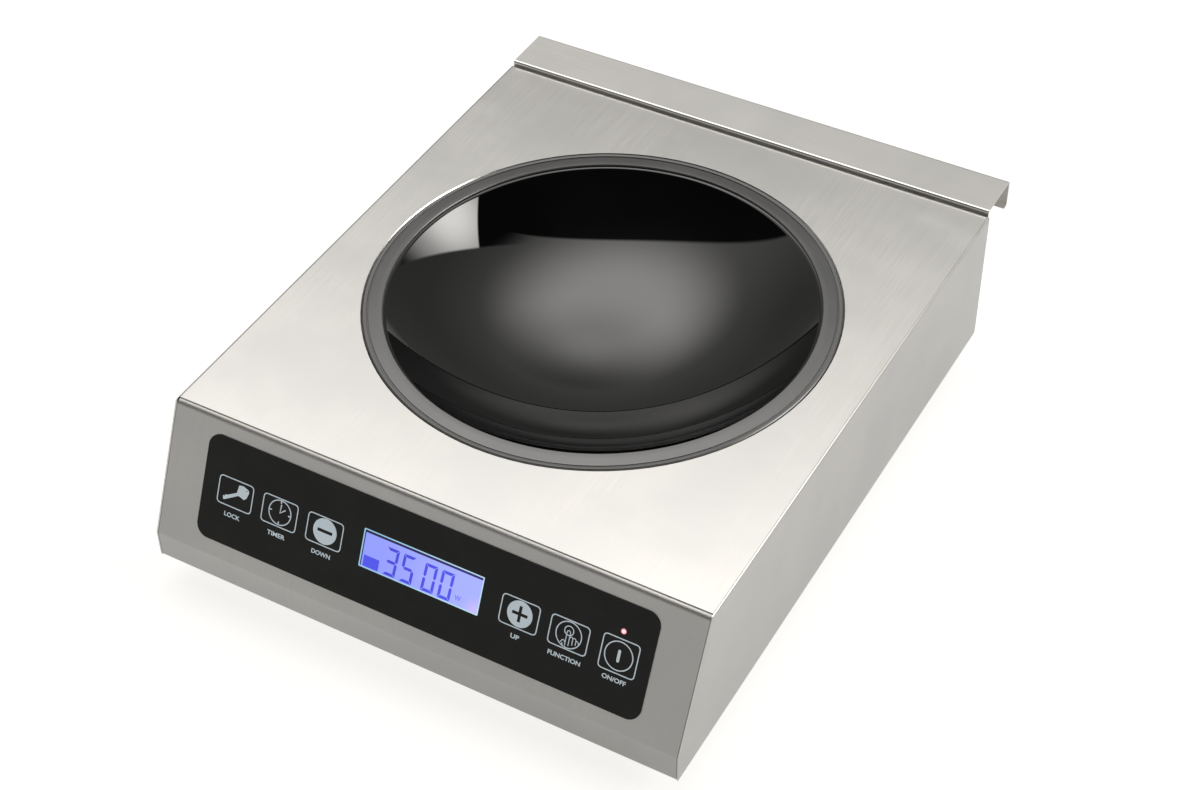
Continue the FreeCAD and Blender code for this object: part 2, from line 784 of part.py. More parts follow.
def make_coil():
    """Coil of round litz cable laid in turns on a sphere just under the glass."""
    body = new_body("induction_coil")
    flat = sketch(body, "XZ_Plane")
    sphere = "(bowl_sphere + glass + 1.6 + coil_wire)"
    for turn in range(int(number("coil_turns"))):
        angle = f"(asin(coil_start / {sphere}) + {turn} * coil_pitch / {sphere} * 1 rad)"
        add_circle(flat, f"{sphere} * sin({angle})", f"{SPHERE_Z} - {sphere} * cos({angle})", "coil_wire")
    turn_round(body, flat)
    place(body, y="bowl_y")


FORMER_SPHERE = "(bowl_sphere + glass + 1.7 + 2 * coil_wire + former_wall)"
LUG_LOW = "(foot_height + 54.5)"
LUG_PLACES = around(3, "lug_circle", -90)


def make_coil_former():
    """Moulded dish under the coil with three lugs for its posts."""
    body = dish("coil_former", f"{FORMER_SPHERE} - former_wall", FORMER_SPHERE, "former_inner", "former_outer")
    flat = sketch(body, "XY_Plane", LUG_LOW)
    add_rectangle(flat, 0, "1.5 - lug_circle", "lug_width", "2 * (lug_circle + 4.5 - former_outer)")
    lug = pad(body, flat, 3)
    ring_of(body, lug, 3)


def make_ferrite_bars():
    """Eight flat bars under the former, lying along the radius."""
    body = new_body("ferrite_bars")
    flat = sketch(body, "XZ_Plane")
    flat.AttachmentOffset = Placement(Vector(), Rotation(Vector(0, 0, 1), 1))
    bind(flat, ".AttachmentOffset.Rotation.Angle", f"asin(60 / {FORMER_SPHERE})")
    bind(flat, ".AttachmentOffset.Base.y", SPHERE_Z)
    middle = f"-({FORMER_SPHERE} + 0.1 + ferrite_thickness / 2)"
    add_rectangle(flat, 0, middle, "ferrite_length", "ferrite_thickness")
    bar = pad(body, flat, "ferrite_width", both_ways=True)
    ring_of(body, bar, 8)
    place(body, y="bowl_y")


def make_sensor():
    """Temperature sensor pressed against the glass by a spring in a holder under the coil's middle."""
    under = f"({SPHERE_Z} - bowl_sphere - glass)"
    sensor = discs("temperature_sensor", [(0, 0)], 5.6, f"{under} - 2.1", f"{under} - 0.1")
    add_discs(sensor, [(0, 0)], 3.4, f"{under} - 14", f"{under} - 2")
    place(sensor, y="bowl_y")
    plate_top = "(foot_height + 31)"
    holder = discs("sensor_holder", [(0, 0)], "former_inner + 5", f"{plate_top} - 2", plate_top)
    add_discs(holder, [(0, 0)], 8, f"{plate_top} - 11", f"{plate_top} - 1")
    cut_discs(holder, [(0, 0)], 6, f"{plate_top} - 9.5", f"{plate_top} + 1")
    place(holder, y="bowl_y")
    spring = new_body("sensor_spring")
    flat = sketch(spring, "XZ_Plane")
    for turn in range(8):
        add_circle(flat, 4.9, f"{plate_top} - 9 + 0.4 + {turn} * 1.85", 0.4)
    turn_round(spring, flat)
    place(spring, y="bowl_y")


# ---------------------------------------------------------------- fans

def make_fan_frames():
    """Two square axial fan frames with a spider and a bearing tube each."""
    middles = [(side + "fan_x", "fan_y") for side in ("-", "")]
    low = TRAY_TOP
    high = f"({TRAY_TOP} + fan_height)"
    body = blocks("fan_frames", [(x, y, "fan_size", "fan_size", low, high) for x, y in middles])
    cut_discs(body, middles, "fan_bore", f"{low} - 1", f"{high} + 1")
    for x, y in middles:
        add_blocks(body, [
            (x, y, "2 * fan_bore + 1", 4, low, f"{low} + 2"),
            (x, y, 4, "2 * fan_bore + 1", low, f"{low} + 2"),
        ])
    add_discs(body, middles, 14, low, f"{low} + 2.5")
    add_discs(body, middles, 4, f"{low} + 2", f"{low} + 17")
    cut_discs(body, middles, "bearing_bore", f"{low} + 1", f"{low} + 18")
    cut_discs(body, fan_corners(), "screw_hole", f"{low} - 1", f"{high} + 1")


def make_fan_rotor(label, side):
    """Hub cup with its shaft and seven pitched blades."""
    body = new_body(label)
    low = "(foot_height + 2 * sheet + 5)"
    high = "(foot_height + 2 * sheet + fan_height - 2)"
    flat = sketch(body, "XZ_Plane")
    add_polygon(flat, [
        (0, f"{low} - 1"),
        ("shaft_radius", f"{low} - 1"),
        ("shaft_radius", f"{high} - 2"),
        ("fan_hub - 2", f"{high} - 2"),
        ("fan_hub - 2", low),
        ("fan_hub", low),
        ("fan_hub", high),
        (0, high),
    ])
    turn_round(body, flat)
    blade = sketch(body, "XZ_Plane", "fan_hub - 1")
    add_polygon(blade, [
        (-9, f"{high} - 1.5"),
        (-7.2, f"{high} - 1"),
        (9, f"{low} + 1.5"),
        (7.2, f"{low} + 1"),
    ])
    feature = pad(body, blade, "blade_tip - fan_hub + 1")
    ring_of(body, feature, 7)
    place(body, x=f"{side}fan_x", y="fan_y")


# ---------------------------------------------------------------- power electronics

def make_power_parts():
    """Power board on posts with its heat sink and the large components."""
    board_low = f"({TRAY_TOP} + board_lift)"
    middle = "((board_front + board_rear) / 2)"
    corners = [(f"{side}(board_half_width - 6)", y) for side in ("-", "")
               for y in ("board_front + 6", "board_rear - 6")]
    board = blocks("power_board", [
        (0, middle, "2 * board_half_width", "board_rear - board_front", board_low, BOARD_TOP),
    ])
    cut_discs(board, corners, 1.8, f"{board_low} - 1", f"{BOARD_TOP} + 1")
    posts = discs("board_posts", corners, 3.5, TRAY_TOP, board_low)
    add_discs(posts, corners, 1.5, f"{board_low} - 0.5", f"{BOARD_TOP} + 2")

    pitch = 6.2
    fins = 19
    sink = new_body("heat_sink")
    comb = sketch(sink, "XZ_Plane", "-sink_rear")
    base_top = "(sink_base + 6)"
    outline = [("-sink_half_width", BOARD_TOP), ("-sink_half_width", "sink_top")]
    for fin in range(fins):
        left = f"-sink_half_width + {fin} * {pitch} + 2"
        outline += [(left, "sink_top"), (left, base_top)]
        outline += [(f"{left} + {pitch} - 2", base_top), (f"{left} + {pitch} - 2", "sink_top")]
    outline += [("sink_half_width", "sink_top"), ("sink_half_width", BOARD_TOP)]
    outline += [("sink_half_width - 2", BOARD_TOP), ("sink_half_width - 2", "sink_base")]
    outline += [("-sink_half_width + 2", "sink_base"), ("-sink_half_width + 2", BOARD_TOP)]
    add_polygon(comb, outline)
    pad(sink, comb, "sink_rear - sink_front")

    on_board = "sink_base - 5"
    row_y = "(sink_front + sink_rear) / 2"
    blocks("power_transistors", [(x, row_y, 16, 21, on_board, "sink_base") for x in (8, 36)])
    blocks("bridge_rectifier", [(-32, row_y, 30, 20, on_board, "sink_base")])
    blocks("film_capacitors", [(x, 103, 26, 14, BOARD_TOP, "foot_height + 36") for x in (-62, -32, -2)])
    blocks("terminal_block", [(-69, 74, 12, 26, BOARD_TOP, f"{BOARD_TOP} + 12")])
    choke = new_body("choke_core")
    flat = sketch(choke, "XZ_Plane")
    add_rectangle(flat, 13, f"{BOARD_TOP} + 7.5", 6, 9)
    turn_round(choke, flat)
    place(choke, x=46, y=92)
    winding = new_body("choke_winding")
    loop = sketch(winding, "XZ_Plane")
    add_rectangle(loop, 13, f"{BOARD_TOP} + 7.5", 10, 13)
    add_rectangle(loop, 13, f"{BOARD_TOP} + 7.5", 6.6, 9.6)
    ring_of(winding, pad(winding, loop, 1.4, both_ways=True), 12)
    place(winding, x=46, y=92)
    fuse = new_body("fuse")
    flat = sketch(fuse, "YZ_Plane", -62)
    add_circle(flat, 52, f"{BOARD_TOP} + 5", 2.6)
    pad(fuse, flat, 20)
    blocks("fuse_clips", [(x, 52, 5, 8, BOARD_TOP, f"{BOARD_TOP} + 2.3") for x in (-58, -46)])


def make_mains_entry():
    """Plastic cable gland with a free bore, its nut inside, and the earth stud."""
    gland = new_body("cable_gland")
    face = PANEL_REAR
    for radius, start, length in (("gland_thread + 4", f"{face} + 5", 5), ("gland_thread + 1", f"{face} + 12", 7.5),
                                  ("gland_thread", f"{face} + 0.5", 12)):
        flat = sketch(gland, "XZ_Plane", f"-({start})")
        add_circle(flat, "gland_x", "gland_z", radius)
        pad(gland, flat, length)
    bore = sketch(gland, "XZ_Plane", f"-({face} + 14)")
    add_circle(bore, "gland_x", "gland_z", "gland_bore")
    cut(gland, bore, 30, back=True)
    nut = new_body("gland_nut")
    flat = sketch(nut, "XZ_Plane", "-deck_rear")
    corner = "(gland_thread + 4)"
    add_polygon(flat, [(f"gland_x + {corner} * cos({angle})", f"gland_z + {corner} * sin({angle})")
                       for angle in range(0, 360, 60)])
    add_circle(flat, "gland_x", "gland_z", "gland_thread + 0.05")
    pad(nut, flat, 5)
    stud = discs("earth_stud", [(-145, 100)], 5, TRAY_TOP, f"{TRAY_TOP} + 1.5")
    add_discs(stud, [(-145, 100)], 2.4, f"{TRAY_TOP} + 1", f"{TRAY_TOP} + 14")
    add_discs(stud, [(-145, 100)], 4.4, f"{TRAY_TOP} + 3", f"{TRAY_TOP} + 7")


def make_air_guides():
    """Two plastic walls that keep the fans' air on the way to the louvres; the left has a notch for leads."""
    boxes = []
    for side in ("-", ""):
        boxes.append((f"{side}113", 59, 1.5, 212, TRAY_TOP, "foot_height + 42"))
        boxes.append((f"{side}116.5", 59, 7, 212, TRAY_TOP, f"{TRAY_TOP} + 1.5"))
    body = blocks("air_guides", boxes)
    cut_blocks(body, [(-113, 77, 4, 22, "foot_height + 16", "foot_height + 43")])


def wire_through(points, radius, bend_radius):
    """One round lead: straight runs joined by arcs, swept as a solid."""
    spots = [Vector(*point) for point in points]
    edges = []
    start = spots[0]
    for index in range(1, len(spots) - 1):
        spot = spots[index]
        before = (spots[index - 1] - spot).normalize()
        after = (spots[index + 1] - spot).normalize()
        half = (math.pi - before.getAngle(after)) / 2
        setback = bend_radius * math.tan(half)
        first = spot + before * setback
        last = spot + after * setback
        inward = (before + after).normalize()
        middle = spot + inward * (bend_radius / math.cos(half) - bend_radius)
        edges.append(Part.LineSegment(start, first).toShape())
        edges.append(Part.Arc(first, middle, last).toShape())
        start = last
    edges.append(Part.LineSegment(start, spots[-1]).toShape())
    path = Part.Wire(edges)
    direction = spots[1] - spots[0]
    section = Part.Wire([Part.Circle(spots[0], direction, radius).toShape()])
    solid = path.makePipeShell([section], True, False)
    if abs(solid.Volume - math.pi * radius ** 2 * path.Length) > 0.02 * solid.Volume:
        raise RuntimeError("a lead has the wrong volume")
    return solid


def leads(label, routes, radius, bend_radius):
    """A node of leads that each follow one route."""
    item = doc.addObject("Part::Feature", label)
    item.Shape = Part.makeCompound([wire_through(route, radius, bend_radius) for route in routes])


def make_leads():
    """Mains leads, coil leads and the flat lead to the controls."""
    gland_x = number("gland_x")
    gland_z = number("gland_z")
    inside = number("deck_rear") - 12.5
    board_top = number(BOARD_TOP)
    live = [(gland_x - 1.6, inside, gland_z), (gland_x - 1.6, 130, gland_z), (-125, 85, 46),
            (-100, 79, 40), (-75.3, 79, 38)]
    neutral = [(gland_x + 1.6, inside, gland_z + 0.5), (gland_x + 1.6, 130, gland_z + 0.5), (-122, 78, 44),
               (-100, 70, 39), (-75.3, 70, 38)]
    earth = [(gland_x, inside, gland_z - 2.9), (gland_x, 140, gland_z - 2.9), (-145, 115, 37), (-145, 105.2, 27)]
    leads("mains_leads", [live, neutral, earth], 1.2, 6)
    coil_side = 82
    coil_leads = [[(coil_side, -10 - 12 * index, 62), (98, -10 - 12 * index, 55), (98, 36, 44),
                   (68 - 8 * index, 47, 44), (68 - 8 * index, 47, board_top + 0.1)] for index in (0, 1)]
    leads("coil_leads", coil_leads, 1.8, 4)
    back = number(FRONT_Y) + 20.4
    thin = 1.2
    route = [(back, 56), (back + 10, 56), (back + 10, 27), (36, 27), (36, 42), (46, 42)]
    other = [(46, 42 - thin), (36 + thin, 42 - thin), (36 + thin, 27 - thin), (back + 10 - thin, 27 - thin),
             (back + 10 - thin, 56 - thin), (back, 56 - thin)]
    ribbon = polygon_body("ribbon_lead", "YZ_Plane", route + other, 16, offset=20)
    add_blocks(ribbon, [(28, 48.5, 18, 7, BOARD_TOP, 44)])


# ---------------------------------------------------------------- controls, in the slope's frame

def make_overlay():
    """Printed membrane on the slope with openings for keys, display and lamp."""
    body = new_body("membrane_overlay")
    flat = sketch(body, "XY_Plane")
    add_rectangle(flat, 0, "(overlay_low + overlay_high) / 2", "2 * overlay_half_width", "overlay_high - overlay_low")
    pad(body, flat, "overlay_thickness")
    round_corners(body, flat, {"overlay_round": [0, 1, 2, 3]})
    holes = sketch(body, "XY_Plane", -1)
    for x, y, x_size, y_size in key_windows("key_gap"):
        add_rectangle(holes, x, y, x_size, y_size)
    add_rectangle(holes, "display_x", "display_y", "display_width", "display_height")
    add_circle(holes, "lamp_x", "lamp_y", "lamp_radius + 0.1")
    cut(body, holes, "overlay_thickness + 2", back=True)
    round_corners(body, holes, {"key_round + key_gap": range(4 * len(KEYS))})
    on_slope(body)


def make_key(name, x, y, width, height):
    """One key: a flexible pad in the membrane with a stem that reaches into its switch."""
    body = new_body("key_" + name)
    flat = sketch(body, "XY_Plane")
    add_rectangle(flat, x, y, width, height)
    pad(body, flat, "overlay_thickness")
    round_corners(body, flat, {"key_round": range(4)})
    add_discs(body, [(x, y)], 3, -1.5, 0.1)
    add_discs(body, [(x, y)], "stem_radius", "-stem_reach", -1)
    on_slope(body)


def make_controls():
    """Control board behind the slope with its switches, display, light and lamp."""
    board_top = "(-control_gap)"
    board_low = "(-control_gap - board_thickness)"
    posts = [(x, y) for x in (-138, -15, 50, 138) for y in (19, 68)]
    board = blocks("control_board", [(0, 43.5, 286, 58, board_low, board_top)])
    cut_discs(board, posts, 1.6, f"{board_low} - 1", f"{board_top} + 1")
    on_slope(board)
    spacers = discs("control_posts", posts, 3, board_top, "-sheet")
    add_discs(spacers, posts, 1.4, f"{board_low} - 2", f"{board_top} + 0.5")
    on_slope(spacers)

    places = key_places()
    switches = blocks("key_switches", [(x, y, 6.2, 6.2, board_top, f"{board_top} + 3.6") for x, y, _, _ in places])
    bores = [(x, y) for x, y, _, _ in places]
    cut_discs(switches, bores, "stem_radius + 0.06", f"{board_top} + 1.6", f"{board_top} + 4")
    on_slope(switches)

    glass = blocks("display_module", [("display_x", "display_y", "display_width + 1.4", "display_height + 1.4",
                                       -3, "-sheet")])
    on_slope(glass)
    light = blocks("display_backlight", [("display_x", "display_y", "display_width + 1.4",
                                          "display_height + 1.4", board_top, -3)])
    on_slope(light)
    window = blocks("display_window", [("display_x", "display_y", "display_width - 0.1",
                                        "display_height - 0.1", "-sheet", "overlay_thickness")])
    on_slope(window)
    lamp = discs("indicator_lamp", [("lamp_x", "lamp_y")], "lamp_radius", board_top, "overlay_thickness - 0.1")
    add_discs(lamp, [("lamp_x", "lamp_y")], "lamp_radius + 0.8", f"{board_top}", -4)
    on_slope(lamp)


# ---------------------------------------------------------------- the whole cooker

def build_everything():
    """Make every sub-part."""
    make_top_cover()
    make_base_tray()
    make_front_panel()
    make_rear_panel()
    make_exhaust_hood()
    make_case_screws()
    make_lock_nuts()
    make_feet()
    dish("wok_bowl", "bowl_sphere", "bowl_sphere + glass", 0, 0, RING_UNDER)
    make_trim_ring()
    make_bowl_seal()
    make_bowl_carrier()
    studs = discs("carrier_studs", STUD_PLACES, "screw_radius", f"{UNDER_DECK} - 8", UNDER_DECK)
    place(studs, y="bowl_y")
    dish("insulation_dish", "bowl_sphere + glass + 0.3", "bowl_sphere + glass + 1.3", 18, "former_outer")
    make_coil()
    make_coil_former()
    make_ferrite_bars()
    posts = discs("coil_posts", LUG_PLACES, 4, TRAY_TOP, LUG_LOW)
    place(posts, y="bowl_y")
    make_sensor()
    make_fan_frames()
    make_fan_rotor("fan_rotor_left", "-")
    make_fan_rotor("fan_rotor_right", "")
    fan_screws = discs("fan_screws", fan_corners(), "head_radius", f"{TRAY_UNDER} - head_height", TRAY_UNDER)
    add_discs(fan_screws, fan_corners(), "screw_radius", f"{TRAY_UNDER} - 0.2", f"{TRAY_TOP} + fan_height - 2")
    make_power_parts()
    make_mains_entry()
    make_air_guides()
    make_leads()
    make_overlay()
    for name, (x, y, width, height) in zip(KEYS, key_places()):
        make_key(name, x, y, width, height)
    make_controls()


def sub_parts():
    """The objects that are written out: every body and every plain feature with a shape."""
    return [item for item in doc.Objects if item.TypeId in ("PartDesign::Body", "Part::Feature")]


def check():
    """Stop at the first object that failed and the first sub-part without a sound shape."""
    for item in doc.Objects:
        if "Invalid" in item.State or "Error" in item.State:
            raise RuntimeError(f"{item.Name} failed: {item.State}")
    for item in sub_parts():
        if item.Shape.isNull() or not item.Shape.isValid() or not item.Shape.Solids:
            raise RuntimeError(f"{item.Label} has no sound shape")


build_everything()
doc.recompute()
check()
os.makedirs("parts", exist_ok=True)
for item in sub_parts():
    item.Shape.exportStep(os.path.join("parts", item.Label + ".step"))
print(len(sub_parts()), "sub-parts written")
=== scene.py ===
"""Looks of the counter-top induction wok cooker, around its fixed frame.

Metres. +X is the cooker's right, +Y its back and +Z up. Panel marks are placed in the slope's own frame:
across (+X), up the slope, and out of its surface.
"""

import json
import math

import bmesh
import bpy
from mathutils import Matrix, Vector

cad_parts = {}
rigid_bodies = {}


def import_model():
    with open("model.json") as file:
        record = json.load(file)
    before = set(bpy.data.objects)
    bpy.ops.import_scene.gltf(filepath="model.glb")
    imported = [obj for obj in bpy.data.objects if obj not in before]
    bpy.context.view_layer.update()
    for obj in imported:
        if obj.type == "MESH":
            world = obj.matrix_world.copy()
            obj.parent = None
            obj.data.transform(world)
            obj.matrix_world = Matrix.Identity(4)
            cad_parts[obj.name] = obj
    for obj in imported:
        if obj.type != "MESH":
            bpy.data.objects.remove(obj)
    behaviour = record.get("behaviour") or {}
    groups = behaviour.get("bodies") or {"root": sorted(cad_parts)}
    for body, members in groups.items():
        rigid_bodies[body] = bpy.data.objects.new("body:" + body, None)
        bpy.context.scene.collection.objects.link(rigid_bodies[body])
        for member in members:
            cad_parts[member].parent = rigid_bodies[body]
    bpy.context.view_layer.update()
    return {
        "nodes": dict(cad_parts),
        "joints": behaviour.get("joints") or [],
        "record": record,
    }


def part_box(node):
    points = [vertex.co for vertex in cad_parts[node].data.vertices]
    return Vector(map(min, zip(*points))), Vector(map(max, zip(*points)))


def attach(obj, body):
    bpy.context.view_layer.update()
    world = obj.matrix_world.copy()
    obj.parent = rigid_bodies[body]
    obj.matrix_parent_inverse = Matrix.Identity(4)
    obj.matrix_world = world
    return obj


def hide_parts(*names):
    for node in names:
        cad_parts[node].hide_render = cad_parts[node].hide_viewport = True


for item in list(bpy.data.objects):
    bpy.data.objects.remove(item)
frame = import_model()

MM = 0.001
NODES = frame["nodes"]
KEYS = ("lock", "timer", "down", "up", "function", "power")


# ---------------------------------------------------------------- shader helpers

def add_node(tree, kind, inputs=None, **settings):
    """Add a shader node; inputs may be values or the sockets that feed them."""
    made = tree.nodes.new(kind)
    for key, value in settings.items():
        setattr(made, key, value)
    for key, value in (inputs or {}).items():
        if isinstance(value, bpy.types.NodeSocket):
            tree.links.new(value, made.inputs[key])
        else:
            made.inputs[key].default_value = value
    return made


def maths(tree, operation, *values):
    """One math node's result."""
    return add_node(tree, "ShaderNodeMath", dict(enumerate(values)), operation=operation).outputs[0]


def ramp(tree, value, low, high, to_low=0.0, to_high=1.0, kind="SMOOTHSTEP"):
    """A value carried from one range to another, with soft ends."""
    made = add_node(tree, "ShaderNodeMapRange", {"Value": value, "From Min": low, "From Max": high,
                                                 "To Min": to_low, "To Max": to_high}, interpolation_type=kind)
    return made.outputs["Result"]


def blend_colour(tree, factor, first, second):
    """Two colours mixed by a factor."""
    made = add_node(tree, "ShaderNodeMix", data_type="RGBA")
    for name, value in ((0, factor), (6, first), (7, second)):
        if isinstance(value, bpy.types.NodeSocket):
            tree.links.new(value, made.inputs[name])
        else:
            made.inputs[name].default_value = value
    return made.outputs[2]


def shade(red, green, blue):
    """A linear colour from the three levels that a screen shows, 0 to 255."""
    def linear(level):
        level = level / 255
        return level / 12.92 if level <= 0.04045 else ((level + 0.055) / 1.055) ** 2.4
    return (linear(red), linear(green), linear(blue), 1.0)


def grey(level, warmth=0.0):
    """A linear grey, warmer above zero."""
    return (level * (1 + warmth), level, level * (1 - 2 * warmth), 1.0)


def new_material(name):
    """A material with its tree, its main shader and object coordinates."""
    material = bpy.data.materials.new(name)
    material.use_nodes = True
    tree = material.node_tree
    shader = tree.nodes["Principled BSDF"]
    place = add_node(tree, "ShaderNodeTexCoord").outputs["Object"]
    return material, tree, shader, place


def noise(tree, place, scale, detail, stretch=(1, 1, 1), turn=(0, 0, 0), roughness=0.5):
    """Noise in object space, drawn out along an axis by a small stretch there."""
    mapped = add_node(tree, "ShaderNodeMapping",
                      {"Vector": place, "Scale": stretch, "Rotation": turn}).outputs[0]
    made = add_node(tree, "ShaderNodeTexNoise", {"Vector": mapped, "Scale": scale, "Detail": detail,
                                                 "Roughness": roughness})
    return made.outputs["Fac"]


def add_bump(tree, shader, height, strength, distance):
    """Feed a height into the shader's normal."""
    bump = add_node(tree, "ShaderNodeBump", {"Height": height, "Strength": strength, "Distance": distance})
    tree.links.new(bump.outputs["Normal"], shader.inputs["Normal"])


def darker(colour, share):
    """A colour with each channel cut to a share of itself."""
    return tuple(channel * share for channel in colour[:3]) + (1.0,)


# ---------------------------------------------------------------- materials

# tone sets how light the sheet is; in the front panel's and hood's copies it also paints shade and light
def brushed_steel(name, stretch, tangent, tone=0.86, roughness=0.21, scratches=True):
    """Stainless sheet with fine straight brushing, faint clouds and a few light scratches."""
    material, tree, shader, place = new_material(name)
    grain = noise(tree, place, 1.0, 3.0, stretch)
    coarse = noise(tree, place, 1.0, 2.0, tuple(0.22 * s for s in stretch))
    clouds = noise(tree, place, 14.0, 3.0, roughness=0.55)
    smears = noise(tree, place, 9.0, 5.0, (1.0, 2.6, 1.0), (0.2, 0.1, 0.7), 0.62)
    lines = maths(tree, "ADD", maths(tree, "MULTIPLY", grain, 0.65),
                  maths(tree, "MULTIPLY", coarse, 0.35))
    level = ramp(tree, lines, 0.3, 0.7, 0.0, 1.0, "LINEAR")
    dull = blend_colour(tree, level, grey(tone * 0.955, 0.014), grey(tone * 1.035, 0.020))
    colour = blend_colour(tree, ramp(tree, clouds, 0.35, 0.68), dull, grey(tone * 0.94, 0.012))
    rough = maths(tree, "ADD", roughness - 0.07, maths(tree, "MULTIPLY", lines, 0.10))
    rough = maths(tree, "ADD", rough, maths(tree, "MULTIPLY", ramp(tree, smears, 0.45, 0.75), 0.05))
    height = lines
    if scratches:
        slanted = add_node(tree, "ShaderNodeMapping", {"Vector": place, "Scale": (2600, 22, 22),
                                                       "Rotation": (0, 0, 0.62)}).outputs[0]
        hair = add_node(tree, "ShaderNodeTexNoise",
                        {"Vector": slanted, "Scale": 1.0, "Detail": 0.0}).outputs["Fac"]
        where = ramp(tree, noise(tree, place, 21.0, 1.0), 0.60, 0.72)
        mark = maths(tree, "MULTIPLY", ramp(tree, hair, 0.74, 0.80), where)
        colour = blend_colour(tree, maths(tree, "MULTIPLY", mark, 0.35), colour, grey(0.9, 0.01))
        height = maths(tree, "SUBTRACT", height, mark)
    tree.links.new(colour, shader.inputs["Base Color"])
    tree.links.new(rough, shader.inputs["Roughness"])
    shader.inputs["Metallic"].default_value = 1.0
    shader.inputs["Anisotropic"].default_value = 0.55
    along = add_node(tree, "ShaderNodeCombineXYZ", dict(enumerate(tangent)))
    tree.links.new(along.outputs[0], shader.inputs["Tangent"])
    add_bump(tree, shader, height, 0.06, 0.00003)
    return material


def metal(name, colour, roughness, scale):
    """Plain metal with a slightly uneven surface."""
    material, tree, shader, place = new_material(name)
    spots = noise(tree, place, scale, 3.0)
    tree.links.new(blend_colour(tree, ramp(tree, spots, 0.3, 0.7), darker(colour, 0.92), colour),
                   shader.inputs["Base Color"])
    tree.links.new(ramp(tree, spots, 0.3, 0.7, roughness * 0.85, roughness * 1.15),
                   shader.inputs["Roughness"])
    shader.inputs["Metallic"].default_value = 1.0
    add_bump(tree, shader, spots, 0.05, 0.00005)
    return material


def plastic(name, colour, roughness, scale=1800.0, bump=0.12, spread=0.12, specular=0.5):
    """Moulded or printed surface with a fine texture."""
    material, tree, shader, place = new_material(name)
    fine = noise(tree, place, scale, 2.0)
    broad = noise(tree, place, scale / 40, 3.0)
    tree.links.new(blend_colour(tree, ramp(tree, broad, 0.3, 0.7), darker(colour, 1 - spread), colour),
                   shader.inputs["Base Color"])
    tree.links.new(ramp(tree, fine, 0.3, 0.7, roughness * 0.9, roughness * 1.1),
                   shader.inputs["Roughness"])
    shader.inputs["Specular IOR Level"].default_value = specular
    add_bump(tree, shader, fine, bump, 0.00005)
    return material


def black_glass():
    """Polished black glass-ceramic with a few specks of dust."""
    material, tree, shader, place = new_material("black_glass")
    cells = add_node(tree, "ShaderNodeTexVoronoi", {"Vector": place, "Scale": 55.0, "Randomness": 1.0},
                     feature="F1")
    draw = add_node(tree, "ShaderNodeSeparateColor", {"Color": cells.outputs["Color"]}).outputs[0]
    chosen = ramp(tree, draw, 0.80, 0.82)
    speck = maths(tree, "MULTIPLY", ramp(tree, cells.outputs["Distance"], 0.012, 0.022, 1.0, 0.0), chosen)
    film = noise(tree, place, 22.0, 4.0)
    base = blend_colour(tree, ramp(tree, film, 0.35, 0.75),
                        (0.0015, 0.0015, 0.0017, 1), (0.0028, 0.0028, 0.003, 1))
    tree.links.new(blend_colour(tree, maths(tree, "MULTIPLY", speck, 0.5), base, grey(0.5)),
                   shader.inputs["Base Color"])
    tree.links.new(ramp(tree, film, 0.4, 0.8, 0.012, 0.03), shader.inputs["Roughness"])
    shader.inputs["IOR"].default_value = 1.92
    return material


def ring_rubber():
    """Satin moulded ring with faint rub marks around it."""
    material, tree, shader, place = new_material("ring_rubber")
    fine = noise(tree, place, 2600.0, 2.0)
    rubs = noise(tree, place, 26.0, 3.0, roughness=0.5)
    tone = blend_colour(tree, ramp(tree, rubs, 0.45, 0.8),
                        (0.063, 0.063, 0.063, 1), (0.076, 0.076, 0.075, 1))
    tree.links.new(tone, shader.inputs["Base Color"])
    tree.links.new(ramp(tree, rubs, 0.35, 0.75, 0.28, 0.36), shader.inputs["Roughness"])
    shader.inputs["IOR"].default_value = 2.25
    add_bump(tree, shader, fine, 0.03, 0.00003)
    return material


def printed(name, colour):
    """Bright screen-printed ink with a slightly uneven density, and a painted glow that keeps it bright on the
    shaded slope.
    """
    material, tree, shader, place = new_material(name)
    dots = noise(tree, place, 4200.0, 2.0)
    tree.links.new(blend_colour(tree, ramp(tree, dots, 0.3, 0.7), darker(colour, 0.92), colour),
                   shader.inputs["Base Color"])
    shader.inputs["Roughness"].default_value = 0.45
    # painted light: the ink glows, though it is no lamp, to stand in for light falling on the slope
    shader.inputs["Emission Color"].default_value = colour
    shader.inputs["Emission Strength"].default_value = 0.34
    return material


def lit(name, colours, place_range, strength=1.0, spot=None):
    """A surface that glows, its colour running from its left end to its right end.

    A spot is a soft patch of its own colour: its middle, its reach and that colour.
    """
    material, tree, shader, place = new_material(name)
    across = add_node(tree, "ShaderNodeSeparateXYZ", {"Vector": place}).outputs[0]
    soft = noise(tree, place, 60.0, 2.0)
    along = ramp(tree, across, place_range[0], place_range[1], kind="LINEAR")
    mottle = maths(tree, "MULTIPLY", maths(tree, "SUBTRACT", soft, 0.5), 0.3)
    along = maths(tree, "ADD", along, mottle)
    colour = blend_colour(tree, ramp(tree, along, 0.0, 1.0), colours[0], colours[1])
    if spot:
        middle, reach, tint = spot
        away = add_node(tree, "ShaderNodeVectorMath", {0: place, 1: tuple(middle)},
                        operation="DISTANCE").outputs["Value"]
        colour = blend_colour(tree, ramp(tree, away, reach * 0.15, reach, 1.0, 0.0), colour, tint)
    tree.links.new(colour, shader.inputs["Emission Color"])
    shader.inputs["Emission Strength"].default_value = strength
    dim = blend_colour(tree, 0.94, colour, (0, 0, 0, 1))
    tree.links.new(dim, shader.inputs["Base Color"])
    shader.inputs["Roughness"].default_value = 0.15
    return material


